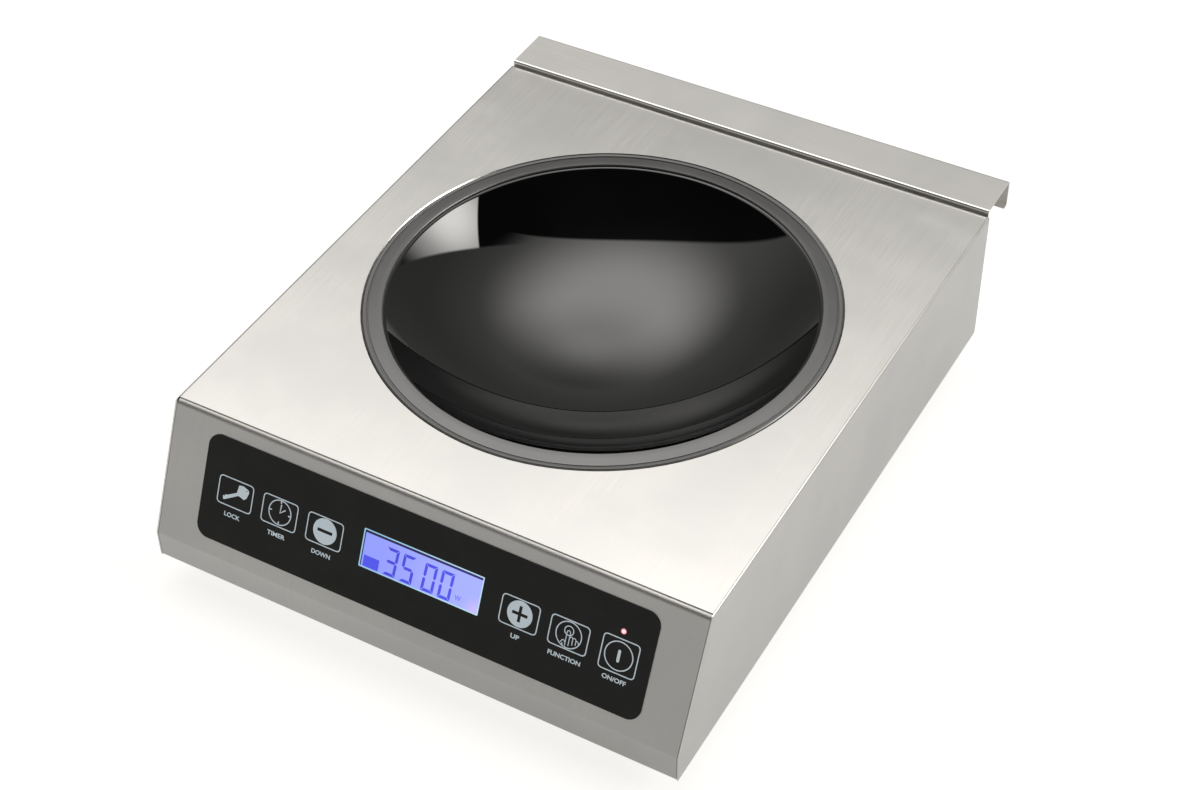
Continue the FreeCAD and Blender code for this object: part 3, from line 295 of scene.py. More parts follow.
def copper():
    """Enamelled litz bundles with fine strands."""
    material, tree, shader, place = new_material("copper")
    strands = noise(tree, place, 1500.0, 4.0)
    tone = blend_colour(tree, ramp(tree, strands, 0.35, 0.65), (0.36, 0.12, 0.05, 1), (0.72, 0.34, 0.16, 1))
    tree.links.new(tone, shader.inputs["Base Color"])
    shader.inputs["Metallic"].default_value = 0.8
    shader.inputs["Roughness"].default_value = 0.38
    add_bump(tree, shader, strands, 0.35, 0.0001)
    return material


def clear_glass(name, tint):
    """Clear tube or window with faint unevenness."""
    material, tree, shader, place = new_material(name)
    waves = noise(tree, place, 300.0, 2.0)
    paler = tuple(min(1.0, c * 1.04) for c in tint[:3]) + (1.0,)
    tree.links.new(blend_colour(tree, ramp(tree, waves, 0.3, 0.7), tint, paler),
                   shader.inputs["Base Color"])
    shader.inputs["Transmission Weight"].default_value = 0.9
    shader.inputs["Roughness"].default_value = 0.05
    return material


def make_materials():
    """One finish for each of the record's material slots, plus the few that differ in their brushing; the front
    panel's and the hood's copies of the steel also differ in tone, as painted shade and painted light.
    """
    fine, long = 2600.0, 45.0
    along_y = (fine, long, fine)
    down_slope = (fine, long, long)
    along_x = (long, fine, fine)
    return {
        "brushed_steel": brushed_steel("brushed_steel", along_y, (0, 1, 0)),
        # painted shade: the front panel's steel is given a darker tone than the deck's
        "front_steel_painted_shade": brushed_steel("front_steel_painted_shade", down_slope, (0, 1, 1), tone=0.645, roughness=0.40,
                                     scratches=False),
        # painted light: the hood's steel is given a lighter tone than the deck's
        "hood_steel_painted_light": brushed_steel("hood_steel_painted_light", along_x, (1, 0, 0), tone=0.955, roughness=0.33),
        "plain_steel": metal("plain_steel", grey(0.55, 0.01), 0.42, 300.0),
        "screw_steel": metal("screw_steel", grey(0.62), 0.28, 1500.0),
        "brass_posts": metal("brass_posts", (0.62, 0.46, 0.20, 1), 0.30, 900.0),
        "aluminium": metal("aluminium", grey(0.72), 0.36, 700.0),
        "foot_rubber": plastic("foot_rubber", (0.022, 0.022, 0.023, 1), 0.75, 1400.0, 0.35, 0.25),
        "ring_rubber": ring_rubber(),
        "seal_silicone": plastic("seal_silicone", (0.50, 0.50, 0.48, 1), 0.55),
        "black_glass": black_glass(),
        "mica": plastic("mica", (0.62, 0.56, 0.42, 1), 0.6, 900.0, 0.3, 0.25),
        "copper": copper(),
        "grey_plastic": plastic("grey_plastic", (0.20, 0.20, 0.21, 1), 0.5),
        "ferrite": plastic("ferrite", (0.05, 0.05, 0.055, 1), 0.55, 1500.0, 0.3),
        "black_plastic": plastic("black_plastic", (0.018, 0.018, 0.019, 1), 0.42, 1600.0, 0.3),
        "circuit_board": plastic("circuit_board", (0.03, 0.20, 0.08, 1), 0.35, 700.0, 0.1, 0.3),
        "component_black": plastic("component_black", (0.02, 0.02, 0.02, 1), 0.35),
        "component_red": plastic("component_red", (0.50, 0.06, 0.04, 1), 0.3),
        "component_green": plastic("component_green", (0.06, 0.32, 0.14, 1), 0.4),
        "fuse_glass": clear_glass("fuse_glass", (0.82, 0.86, 0.86, 1)),
        "lead_insulation": plastic("lead_insulation", (0.05, 0.05, 0.055, 1), 0.45),
        "display_glass": plastic("display_glass", (0.10, 0.12, 0.35, 1), 0.1, 600.0, 0.02),
        "backlight": plastic("backlight", (0.75, 0.78, 0.90, 1), 0.4),
        "window_plastic": plastic("window_plastic", (0.010, 0.010, 0.014, 1), 0.2, 900.0, 0.02),
        "lamp_red": plastic("lamp_red", (0.60, 0.05, 0.07, 1), 0.2),
        "overlay_film": plastic("overlay_film", (0.0272, 0.0272, 0.0270, 1), 0.50, 2400.0, 0.10, 0.15, 0.16),
    }


def dress_nodes(finishes):
    """Give every CAD node the finish of its record slot."""
    own = {"front_panel": "front_steel_painted_shade", "exhaust_hood": "hood_steel_painted_light"}
    for row in frame["record"]["subparts"]:
        name = row["node"]
        item = NODES[name]
        item.data.materials.clear()
        item.data.materials.append(finishes[own.get(name, row["material_slot"])])


# ---------------------------------------------------------------- shape helpers

def new_piece(name, mesh, finish, body):
    """Link a mesh as a piece that rides on a body."""
    item = bpy.data.objects.new(name, mesh)
    bpy.context.scene.collection.objects.link(item)
    mesh.materials.clear()
    mesh.materials.append(finish)
    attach(item, body)
    return item


def arc_points(centre, radius, start, stop, count):
    """Points along an arc, angles in degrees from +x."""
    step = (stop - start) / (count - 1)
    angles = [math.radians(start + step * index) for index in range(count)]
    return [(centre[0] + radius * math.cos(a), centre[1] + radius * math.sin(a)) for a in angles]


def rounded(corners, radius, count):
    """A closed outline with its corners rounded; radius may be one number or one for each corner."""
    radii = radius if isinstance(radius, (list, tuple)) else [radius] * len(corners)
    outline = []
    for index, corner in enumerate(corners):
        here = Vector(corner)
        before = Vector(corners[index - 1]) - here
        after = Vector(corners[(index + 1) % len(corners)]) - here
        reach = radii[index]
        if reach <= 0:
            outline.append(tuple(here))
            continue
        half = before.angle(after) / 2
        back = min(reach / math.tan(half), before.length * 0.49, after.length * 0.49)
        first = here + before.normalized() * back
        last = here + after.normalized() * back
        for step in range(count + 1):
            t = step / count
            outline.append(tuple((1 - t) ** 2 * first + 2 * t * (1 - t) * here + t ** 2 * last))
    return outline


def lathe(name, outline, centre, steps, sharp, closed=True):
    """Turn an outline of (radius, height) about a vertical axis; edges above the sharp angle stay sharp."""
    mesh = bpy.data.meshes.new(name)
    grid = bmesh.new()
    rows = []
    for radius, height in outline:
        if radius < 1e-7:
            rows.append([grid.verts.new((centre[0], centre[1], height))])
            continue
        rows.append([grid.verts.new((centre[0] + radius * math.cos(2 * math.pi * s / steps),
                                     centre[1] + radius * math.sin(2 * math.pi * s / steps), height))
                     for s in range(steps)])
    pairs = list(zip(rows, rows[1:])) + ([(rows[-1], rows[0])] if closed else [])
    for low, high in pairs:
        for s in range(steps):
            t = (s + 1) % steps
            if len(low) == 1 and len(high) == 1:
                break
            if len(low) == 1:
                grid.faces.new((low[0], high[t], high[s]))
            elif len(high) == 1:
                grid.faces.new((low[s], low[t], high[0]))
            else:
                grid.faces.new((low[s], low[t], high[t], high[s]))
    finish_mesh(grid, mesh, sharp)
    return mesh


def finish_mesh(grid, mesh, sharp):
    """Close a mesh: outward faces, smooth shading, sharp edges by angle."""
    bmesh.ops.recalc_face_normals(grid, faces=grid.faces)
    limit = math.radians(sharp)
    for face in grid.faces:
        face.smooth = True
    for edge in grid.edges:
        edge.smooth = edge.calc_face_angle(0.0) < limit
    grid.to_mesh(mesh)
    grid.free()


def add_turned(grid, rows, spot, axis, steps, closed=False):
    """Turn rows of (radius, height) about an axis through a spot; a radius may be a function of the angle."""
    axis = Vector(axis)
    first = axis.orthogonal().normalized()
    second = axis.cross(first)
    rings = []
    for radius, height in rows:
        middle = Vector(spot) + axis * height
        if radius == 0:
            rings.append([grid.verts.new(middle)])
            continue
        ring = []
        for step in range(steps):
            angle = 2 * math.pi * step / steps
            reach = radius(angle) if callable(radius) else radius
            ring.append(grid.verts.new(middle + first * reach * math.cos(angle)
                                       + second * reach * math.sin(angle)))
        rings.append(ring)
    for low, high in list(zip(rings, rings[1:])) + ([(rings[-1], rings[0])] if closed else []):
        for step in range(steps):
            after = (step + 1) % steps
            if len(low) == 1:
                grid.faces.new((low[0], high[after], high[step]))
            elif len(high) == 1:
                grid.faces.new((low[step], low[after], high[0]))
            else:
                grid.faces.new((low[step], low[after], high[after], high[step]))


def island_boxes(name):
    """The lowest and highest corner of each separate solid in a CAD node."""
    grid = bmesh.new()
    grid.from_mesh(NODES[name].data)
    bmesh.ops.remove_doubles(grid, verts=grid.verts, dist=0.001 * MM)
    seen = set()
    boxes = []
    for start in grid.verts:
        if start.index in seen:
            continue
        seen.add(start.index)
        group = [start]
        for vertex in group:
            for edge in vertex.link_edges:
                other = edge.other_vert(vertex)
                if other.index not in seen:
                    seen.add(other.index)
                    group.append(other)
        spots = [vertex.co.copy() for vertex in group]
        boxes.append((Vector([min(spot[axis] for spot in spots) for axis in range(3)]),
                      Vector([max(spot[axis] for spot in spots) for axis in range(3)])))
    grid.free()
    return boxes


# ---------------------------------------------------------------- the slope's frame

press = [joint for joint in frame["joints"] if joint["name"] == "press_lock"][0]
OUT = -Vector(press["axis"]).normalized()
ACROSS = Vector((1, 0, 0))
UP_SLOPE = OUT.cross(ACROSS)
OVERLAY_LOW = 10.2 * MM     # lower edge of the overlay above the slope's lower bend
OVERLAY_TOP = 0.6           # top of the overlay out of the slope, in millimetres
CIRCLE_POINTS = 64


def on_slope_box(name, origin=Vector()):
    """Lowest and highest (across, up, out) of a node about an origin."""
    spots = [vertex.co - origin for vertex in NODES[name].data.vertices]
    lows = []
    highs = []
    for axis in (ACROSS, UP_SLOPE, OUT):
        along = [spot.dot(axis) for spot in spots]
        lows.append(min(along))
        highs.append(max(along))
    return Vector(lows), Vector(highs)


overlay_low, _ = on_slope_box("membrane_overlay")
CREASE = UP_SLOPE * (overlay_low.y - OVERLAY_LOW) + OUT * overlay_low.z
SLOPE = Matrix((
    (ACROSS.x, UP_SLOPE.x, OUT.x, CREASE.x),
    (ACROSS.y, UP_SLOPE.y, OUT.y, CREASE.y),
    (ACROSS.z, UP_SLOPE.z, OUT.z, CREASE.z),
    (0, 0, 0, 1),
))


def key_middle(name):
    """Middle and half size of a key's pad on the slope, in millimetres."""
    low, high = on_slope_box("key_" + name, CREASE)
    middle = (low + high) / 2 / MM
    half = (high - low) / 2 / MM
    return middle.x, middle.y, half.x, half.y


def flat_piece(name, loops, low, high, finish, body):
    """A thin printed or raised shape on the slope from closed outlines; an outline inside another is a hole.

    Outlines are in millimetres across and up the slope, and low and high in millimetres out of it.
    """
    curve = bpy.data.curves.new(name, "CURVE")
    curve.dimensions = "2D"
    curve.fill_mode = "BOTH"
    curve.extrude = (high - low) / 2 * MM
    for loop in loops:
        spline = curve.splines.new("POLY")
        spline.points.add(len(loop) - 1)
        for point, (x, y) in zip(spline.points, loop):
            point.co = (x * MM, y * MM, 0, 1)
        spline.use_cyclic_u = True
    return solid_from_curve(name, curve, Matrix(), (low + high) / 2, finish, body)


def solid_from_curve(name, curve, local, level, finish, body):
    """Turn a filled curve or text into a mesh piece on the slope."""
    holder = bpy.data.objects.new(name + "_curve", curve)
    bpy.context.scene.collection.objects.link(holder)
    bpy.context.view_layer.update()
    mesh = bpy.data.meshes.new_from_object(holder.evaluated_get(bpy.context.evaluated_depsgraph_get()))
    mesh.name = name
    bpy.data.objects.remove(holder)
    mesh.transform(SLOPE @ Matrix.Translation((0, 0, level * MM)) @ local)
    return new_piece(name, mesh, finish, body)


def box_outline(x, y, half_x, half_y, radius):
    """A rounded rectangle."""
    corners = [(x - half_x, y - half_y), (x + half_x, y - half_y),
               (x + half_x, y + half_y), (x - half_x, y + half_y)]
    return rounded(corners, radius, 5) if radius > 0 else corners


def circle_outline(x, y, radius):
    """A circle."""
    return arc_points((x, y), radius, 0, 360 - 360 / CIRCLE_POINTS, CIRCLE_POINTS)


def frame_loops(x, y, half_x, half_y, radius, line):
    """A rounded frame line of one width."""
    return [box_outline(x, y, half_x, half_y, radius),
            box_outline(x, y, half_x - line, half_y - line, max(radius - line, 0.1))]


def ring_loops(x, y, radius, line):
    """A circular line."""
    return [circle_outline(x, y, radius), circle_outline(x, y, radius - line)]


def stroke(points, width, count=6):
    """The outline of a line of one width with round ends."""
    spots = [Vector(point) for point in points]
    left = []
    right = []
    for index, spot in enumerate(spots):
        ahead = spots[min(index + 1, len(spots) - 1)] - spot
        behind = spot - spots[max(index - 1, 0)]
        run = (ahead.normalized() if ahead.length > 0 else Vector((0, 0))) \
            + (behind.normalized() if behind.length > 0 else Vector((0, 0)))
        side = Vector((-run.y, run.x)).normalized() * width / 2
        left.append(tuple(spot + side))
        right.append(tuple(spot - side))
    outline = list(right)
    for tip, turn in ((spots[-1], spots[-1] - spots[-2]), (spots[0], spots[0] - spots[1])):
        facing = math.degrees(math.atan2(turn.y, turn.x))
        cap = arc_points(tip, width / 2, facing - 90, facing + 90, count)
        outline += cap[1:-1]
        if tip is spots[-1]:
            outline += list(reversed(left))
    return outline


LETTER_WEIGHT = 0.028       # share of the letter size that each stroke gains on both sides


def words(name, text, x_low, x_high, y_low, y_high, level, finish, body):
    """Plain lettering that fills a given box on the slope, in millimetres."""
    curve = bpy.data.curves.new(name, "FONT")
    curve.body = text
    curve.size = 1.0
    curve.offset = LETTER_WEIGHT
    holder = bpy.data.objects.new(name + "_measure", curve)
    bpy.context.scene.collection.objects.link(holder)
    bpy.context.view_layer.update()
    spots = [Vector(corner) for corner in holder.bound_box]
    low = Vector((min(s.x for s in spots), min(s.y for s in spots)))
    high = Vector((max(s.x for s in spots), max(s.y for s in spots)))
    bpy.data.objects.remove(holder)
    x_scale = (x_high - x_low) * MM / (high.x - low.x)
    y_scale = (y_high - y_low) * MM / (high.y - low.y)
    curve.extrude = 0.01 * MM / y_scale
    local = Matrix((
        (x_scale, 0, 0, x_low * MM - low.x * x_scale),
        (0, y_scale, 0, y_low * MM - low.y * y_scale),
        (0, 0, y_scale, 0),
        (0, 0, 0, 1),
    ))
    return solid_from_curve(name, curve, local, level, finish, body)


# ---------------------------------------------------------------- pieces

HEAD_RADIUS, HEAD_HEIGHT, SHANK_RADIUS = 3.8 * MM, 2.2 * MM, 1.95 * MM


def cross_recess(angle):
    """Radius of a cross-shaped driver recess at an angle."""
    reach, half = 1.75 * MM, 0.42 * MM
    across, along = abs(math.cos(angle)) + 1e-6, abs(math.sin(angle)) + 1e-6
    return max(min(reach / across, half / along), min(reach / along, half / across))


def make_screws(finishes):
    """Pan-head screws with a domed head and a cross recess, in the places of the plain ones."""
    for node in ("case_screws", "fan_screws"):
        grid = bmesh.new()
        for low, high in island_boxes(node):
            size = high - low
            middle = (low + high) / 2
            flat = size.y > size.z
            axis = Vector((0, 1, 0)) if flat else Vector((0, 0, -1))
            seat = Vector((middle.x, high.y - HEAD_HEIGHT, middle.z)) if flat \
                else Vector((middle.x, middle.y, low.z + HEAD_HEIGHT))
            length = max(size.y, size.z) - HEAD_HEIGHT
            shank = [(0, -length), (0.55 * SHANK_RADIUS, -length), (SHANK_RADIUS, 0.8 * MM - length),
                     (SHANK_RADIUS, 0.0)]
            head = [(HEAD_RADIUS - 0.1 * MM, 0.0), (HEAD_RADIUS, 0.15 * MM), (HEAD_RADIUS, 0.8 * MM),
                    (3.62 * MM, 1.25 * MM), (3.2 * MM, 1.7 * MM), (2.6 * MM, 2.0 * MM)]
            recess = [(lambda angle: cross_recess(angle) * 1.02, 2.18 * MM),
                      (lambda angle: cross_recess(angle) * 0.86, 1.25 * MM), (0, 0.95 * MM)]
            add_turned(grid, shank + head + recess, seat, axis, 48)
        mesh = bpy.data.meshes.new("domed_" + node)
        finish_mesh(grid, mesh, 38)
        piece = new_piece("domed_" + node, mesh, finishes["screw_steel"], "housing")
        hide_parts(node)


def make_feet(finishes):
    """Moulded rubber feet with rounded rims and a shallow tread groove."""
    corners = [(2.2, 21.0), (15.0, 21.0), (14.6, 16.6), (14.1, 16.2), (14.0, 14.9), (14.35, 14.4),
               (13.2, 0.0), (10.9, 0.0), (10.7, 0.6), (9.3, 0.6), (9.1, 0.0), (6.0, 0.0), (6.0, 8.0),
               (2.2, 8.0)]
    radii = [0.1, 0.5, 0.2, 0.2, 0.2, 0.2, 1.8, 0.2, 0.1, 0.1, 0.2, 0.5, 0.2, 0.1]
    rows = rounded([(radius * MM, height * MM) for radius, height in corners], [r * MM for r in radii], 4)
    grid = bmesh.new()
    for low, high in island_boxes("rubber_feet"):
        middle = (low + high) / 2
        add_turned(grid, rows, (middle.x, middle.y, low.z), (0, 0, 1), 96, closed=True)
    mesh = bpy.data.meshes.new("moulded_feet")
    finish_mesh(grid, mesh, 40)
    piece = new_piece("moulded_feet", mesh, finishes["foot_rubber"], "housing")
    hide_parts("rubber_feet")


def make_gland(finishes):
    """Cable gland: a threaded stem, a six-sided body and a ribbed domed cap around a free bore."""
    low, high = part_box("cable_gland")
    middle = (low + high) / 2
    stem, bore, corner = 10.0 * MM, 4.2 * MM, 13.9 * MM
    face = high.y - 12.0 * MM
    back = high.y - face

    def six_sided(angle):
        return corner * math.cos(math.pi / 6) / math.cos((angle % (math.pi / 3)) - math.pi / 6)

    def ribbed(radius, depth):
        return lambda angle: radius - depth * (0.5 + 0.5 * math.cos(24 * angle)) ** 2

    rows = [(bore, low.y - face), (stem, low.y - face), (stem, 0.0), (13.0 * MM, 0.0),
            (six_sided, 0.5 * MM), (six_sided, 4.4 * MM), (11.956 * MM, 5.0 * MM),
            (10.6 * MM, 5.05 * MM), (10.6 * MM, 5.7 * MM),
            (ribbed(11.0 * MM, 0.1 * MM), 5.9 * MM), (ribbed(11.0 * MM, 0.6 * MM), 6.4 * MM),
            (ribbed(10.8 * MM, 0.6 * MM), back - 2.4 * MM), (ribbed(10.0 * MM, 0.2 * MM), back - 1.1 * MM),
            (8.8 * MM, back - 0.35 * MM), (7.4 * MM, back), (5.0 * MM, back), (bore, back - 0.7 * MM)]
    grid = bmesh.new()
    add_turned(grid, rows, (middle.x, face, middle.z), (0, 1, 0), 240, closed=True)
    mesh = bpy.data.meshes.new("gland_body")
    finish_mesh(grid, mesh, 32)
    piece = new_piece("gland_body", mesh, finishes["black_plastic"], "housing")
    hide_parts("cable_gland")


BOWL_SPHERE = 186 * MM      # inner radius of the bowl
GLASS = 5 * MM              # its wall
RIM_DIP = 0.24 * MM         # how far the outer edge of its rim is ground down


def bowl_face(radius, middle, last, count):
    """Points (radius, height) down a sphere about a middle height, from its lowest point to a last angle."""
    angles = [last * step / count for step in range(count + 1)]
    return [(radius * math.sin(a), middle - radius * math.cos(a)) for a in angles]


def make_bowl(finishes):
    """The black glass bowl: a smooth spherical shell with a ground rim."""
    low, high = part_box("wok_bowl")
    centre = ((low.x + high.x) / 2, (low.y + high.y) / 2)
    sphere = low.z + GLASS + BOWL_SPHERE
    rim = high.z
    outer = BOWL_SPHERE + GLASS
    inside = bowl_face(BOWL_SPHERE, sphere, math.acos((sphere - rim) / BOWL_SPHERE), 72)[::-1]
    outside = bowl_face(outer, sphere, math.acos((sphere - rim) / outer), 40)
    top_in = Vector(inside[0])
    top_out = Vector(outside[-1])
    rim_line = [tuple(top_out + (top_in - top_out) * 0.16), tuple(top_in + (top_out - top_in) * 0.16)]
    inside[0] = tuple(Vector(inside[1]) * 0.75 + Vector(inside[0]) * 0.25)
    outside[-1] = tuple(Vector(outside[-2]) * 0.3 + Vector(outside[-1]) * 0.7 - Vector((0, RIM_DIP)))
    mesh = lathe("glass_bowl", outside + rim_line + inside, centre, 384, 50, closed=False)
    piece = new_piece("glass_bowl", mesh, finishes["black_glass"], "housing")
    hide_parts("wok_bowl")


def make_ring(finishes):
    """The moulded ring: a crowned band, a narrow groove and an outer lip, with a leg under them."""
    low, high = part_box("trim_ring")
    centre = ((low.x + high.x) / 2, (low.y + high.y) / 2)
    outer = (high.x - low.x) / 2
    top = high.z
    inner = outer - 12.2 * MM
    groove = outer - 3 * MM
    under = top - 0.9 * MM
    corners = [
        (inner, under),
        (inner, top - 0.10 * MM),
        (inner + 0.5 * MM, top + 0.55 * MM),
        (inner + 3.4 * MM, top + 0.30 * MM),
        (groove - 1.5 * MM, top - 0.28 * MM),
        (groove - 0.42 * MM, top - 0.42 * MM),
        (groove - 0.38 * MM, top - 0.88 * MM),
        (groove + 0.38 * MM, top - 0.88 * MM),
        (groove + 0.42 * MM, top - 0.12 * MM),
        (outer - 0.7 * MM, top - 0.02 * MM),
        (outer, top - 0.55 * MM),
        (outer, low.z),
        (outer - 5 * MM, low.z),
        (outer - 5 * MM, under),
    ]
    radii = [0.05, 0.2, 0.4, 3.0, 2.0, 0.25, 0.15, 0.15, 0.2, 0.4, 0.3, 0.3, 0.3, 0.1]
    outline = rounded(corners, [r * MM for r in radii], 5)
    mesh = lathe("bowl_ring", outline, centre, 384, 48)
    piece = new_piece("bowl_ring", mesh, finishes["ring_rubber"], "housing")
    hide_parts("trim_ring")


SEGMENTS = {"0": "abcdef", "3": "abcdg", "5": "acdfg"}


def digit_loops(character, left, low, width, height, line, lean):
    """The bars of one seven-bar digit as pointed strips."""
    half = line / 2
    gap = 0.2
    middle = height / 2
    inset = line + gap
    left_bar = [(0, height - gap), (line, height - inset), (line, middle + half + gap),
                (half, middle + gap), (0, middle + half + gap)]
    top_bar = [(gap, height), (width - gap, height), (width - inset, height - line), (inset, height - line)]
    middle_bar = [(half + gap, middle), (inset, middle + half), (width - inset, middle + half),
                  (width - half - gap, middle), (width - inset, middle - half), (inset, middle - half)]

    def across(bar):
        return [(width - x, y) for x, y in bar]

    def down(bar):
        return [(x, height - y) for x, y in bar]

    bars = {"a": top_bar, "b": across(left_bar), "c": across(down(left_bar)), "d": down(top_bar),
            "e": down(left_bar), "f": left_bar, "g": middle_bar}
    return [[(left + x + lean * y, low + y) for x, y in bars[name]] for name in SEGMENTS[character]]


def make_display(finishes):
    """Window frame, a dark band painted as shadow along its top, lit panel and its digits; the reading is a
    plain number.

    Places are in millimetres from the window's left and lower edges, levels in millimetres out of the slope.
    """
    low, high = on_slope_box("display_window", CREASE)
    left, right = low.x / MM, high.x / MM
    bottom, top = low.y / MM, high.y / MM
    middle = ((left + right) / 2, (bottom + top) / 2)
    half = ((right - left) / 2, (top - bottom) / 2)
    under = low.z / MM
    plate = flat_piece("display_plate", [box_outline(*middle, *half, 0.0)], under, 0.28,
                       finishes["window_plastic"], "housing")
    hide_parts("display_window")
    flat_piece("display_frame", frame_loops(*middle, half[0] - 0.02, half[1] - 0.02, 0.6, 0.62), 0.285, 0.62,
               finishes["frame_print"], "housing")
    lit_left, lit_right = left + 1.35, right - 0.70
    lit_low, lit_top = bottom + 0.70, top - 2.20

    def patch(x_low, y_low, x_high, y_high):
        return [(x_low, y_low), (x_high, y_low), (x_high, y_high), (x_low, y_high)]

    flat_piece("display_panel", [patch(lit_left, lit_low, lit_right, lit_top)], 0.29, 0.34,
               finishes["panel_light"], "housing")
    # painted shadow: a dark glowing band across the top of the lit panel
    flat_piece("display_shadow", [patch(left + 0.75, lit_top, lit_right, top - 0.72)], 0.29, 0.33,
               finishes["panel_shadow"], "housing")
    starts = [lit_low + 0.4 + 1.9 * count for count in range(10)]
    flat_piece("display_pins", [patch(left + 0.80, start, left + 1.30, start + 0.95) for start in starts],
               0.29, 0.33, finishes["pin_light"], "housing")
    digits = []
    for character, x_low in (("3", left + 15.15), ("5", left + 25.9), ("0", left + 39.75), ("0", left + 50.45)):
        digits += digit_loops(character, x_low, bottom + 1.1, 7.95, 16.65, 1.75, 0.048)
    flat_piece("display_digits", digits, 0.345, 0.36, finishes["digit_light"], "housing")
    flat_piece("display_mark", [patch(left + 2.35, bottom + 0.9, left + 12.35, bottom + 7.6)], 0.345, 0.36,
               finishes["mark_light"], "housing")
    words("display_unit", "W", left + 61.05, left + 65.15, bottom + 3.6, bottom + 6.65, 0.352,
          finishes["unit_light"], "housing")


def key_icon_loops(x, y):
    """A simple door key, its round-cornered head at the upper right and its teeth at the lower left."""
    outline = [(1.75, 6.1), (4.7, 6.6), (8.6, 5.2), (8.9, 3.6), (7.7, 0.0), (6.2, -1.4), (2.3, -0.25),
               (-6.2, -5.4), (-7.5, -5.8), (-7.9, -3.5), (-6.6, -3.3), (-6.3, -2.4), (-5.2, -2.35),
               (0.9, 1.1), (1.4, 3.6)]
    radii = [0.7, 0.6, 0.8, 0.5, 0.9, 0.6, 0.4, 0.3, 0.3, 0.25, 0.15, 0.15, 0.3, 0.5, 0.6]
    hole = [(6.7, 4.0), (7.6, 4.3), (7.7, 4.8), (6.8, 4.5)]
    return [rounded([(x + a, y + b) for a, b in outline], radii, 4), [(x + a, y + b) for a, b in hole]]


def hand_strokes(x, y):
    """A pointing hand under a fingertip ring, as separate lines."""
    lines = [
        [(-1.2, -6.6), (-1.2, 1.6), (-0.9, 2.2), (-0.2, 2.5), (0.5, 2.2), (0.8, 1.6), (0.8, -6.0)],
        [(1.15, -1.2), (1.5, -0.6), (2.2, -0.5), (2.75, -1.1), (2.85, -4.9)],
        [(3.2, -1.0), (3.6, -0.6), (4.3, -0.7), (4.75, -1.4), (4.8, -4.2)],
        [(5.15, -1.7), (5.6, -1.7), (6.2, -2.3), (6.6, -3.1)],
        [(-1.55, -4.6), (-1.9, -4.0), (-2.5, -3.7), (-3.3, -4.2), (-3.9, -5.4)],
        [(-2.6, -6.7), (-3.0, -5.6)],
    ]
    return [stroke([(x + a, y + b) for a, b in line], 0.5, 5) for line in lines]


CAPTION_HEIGHT = 2.75


def make_keys(finishes):
    """Frames and plain symbols that ride on their keys, and plain words under them."""
    level = (OVERLAY_TOP + 0.005, OVERLAY_TOP + 0.03)
    # the ink's finish carries a painted glow, standing in for light on the slope
    ink = finishes["overlay_print"]
    line, corner, clear = 0.66, 2.85, 0.05

    def mark(name, loops, key):
        flat_piece(name, loops, level[0], level[1], ink, "key_" + key)

    for key in KEYS:
        x, y, half_x, half_y = key_middle(key)
        mark(f"frame_{key}", frame_loops(x, y, half_x - clear, half_y - clear, corner, line), key)

    x, y, _, _ = key_middle("lock")
    mark("icon_lock", key_icon_loops(x - 0.1, y), "lock")

    x, y, _, _ = key_middle("timer")
    x, y = x + 0.25, y + 0.15
    mark("icon_timer_ring", ring_loops(x, y, 7.65, 0.64), "timer")
    for index, (across, up) in enumerate(((0, 1), (1, 0), (0, -1), (-1, 0))):
        tick = stroke([(x + across * 6.6, y + up * 6.6), (x + across * 5.8, y + up * 5.8)], 0.8)
        mark(f"icon_timer_tick_{index}", [tick], "timer")
    mark("icon_timer_hands", [stroke([(x + 0.35, y + 4.7), (x, y - 0.3), (x + 3.1, y + 2.4)], 0.8)], "timer")

    x, y, _, _ = key_middle("down")
    x, y = x + 0.25, y + 0.2
    mark("icon_down", [circle_outline(x, y, 7.7), box_outline(x, y, 4.85, 0.95, 0.0)], "down")
    x, y, _, _ = key_middle("up")
    x, y = x + 0.2, y + 0.05
    wide, thin = 4.75, 0.9
    cross = [(-wide, -thin), (-thin, -thin), (-thin, -wide), (thin, -wide), (thin, -thin), (wide, -thin),
             (wide, thin), (thin, thin), (thin, wide), (-thin, wide), (-thin, thin), (-wide, thin)]
    mark("icon_up", [circle_outline(x, y, 7.7), [(x + a, y + b) for a, b in cross]], "up")

    x, y, _, _ = key_middle("function")
    mark("icon_function_ring", ring_loops(x, y, 7.9, 0.62), "function")
    mark("icon_function_tip", ring_loops(x - 0.2, y + 2.4, 2.95, 0.55), "function")
    for index, outline in enumerate(hand_strokes(x, y)):
        mark(f"icon_function_hand_{index}", [outline], "function")

    x, y, _, _ = key_middle("power")
    mark("icon_power_ring", ring_loops(x - 0.2, y, 8.55, 0.66), "power")
    mark("icon_power_bar", [stroke([(x - 0.2, y + 2.9), (x - 0.2, y - 2.9)], 1.7)], "power")

    captions = {"lock": ("LOCK", 10.7, 6.2), "timer": ("TIMER", 12.0, 6.2), "down": ("DOWN", 12.4, 6.2),
                "up": ("UP", 5.3, 6.2), "function": ("FUNCTION", 19.8, 6.2), "power": ("ON/OFF", 14.3, 4.9)}
    for key, (text, width, drop) in captions.items():
        x, y, _, half_y = key_middle(key)
        low = y - half_y - drop
        words("caption_" + key, text, x - width / 2, x + width / 2, low, low + CAPTION_HEIGHT,
              level[1] - 0.01, ink, "housing")


LAMP_X, LAMP_Y = 124.3 * MM, 57.4 * MM      # across and up the slope


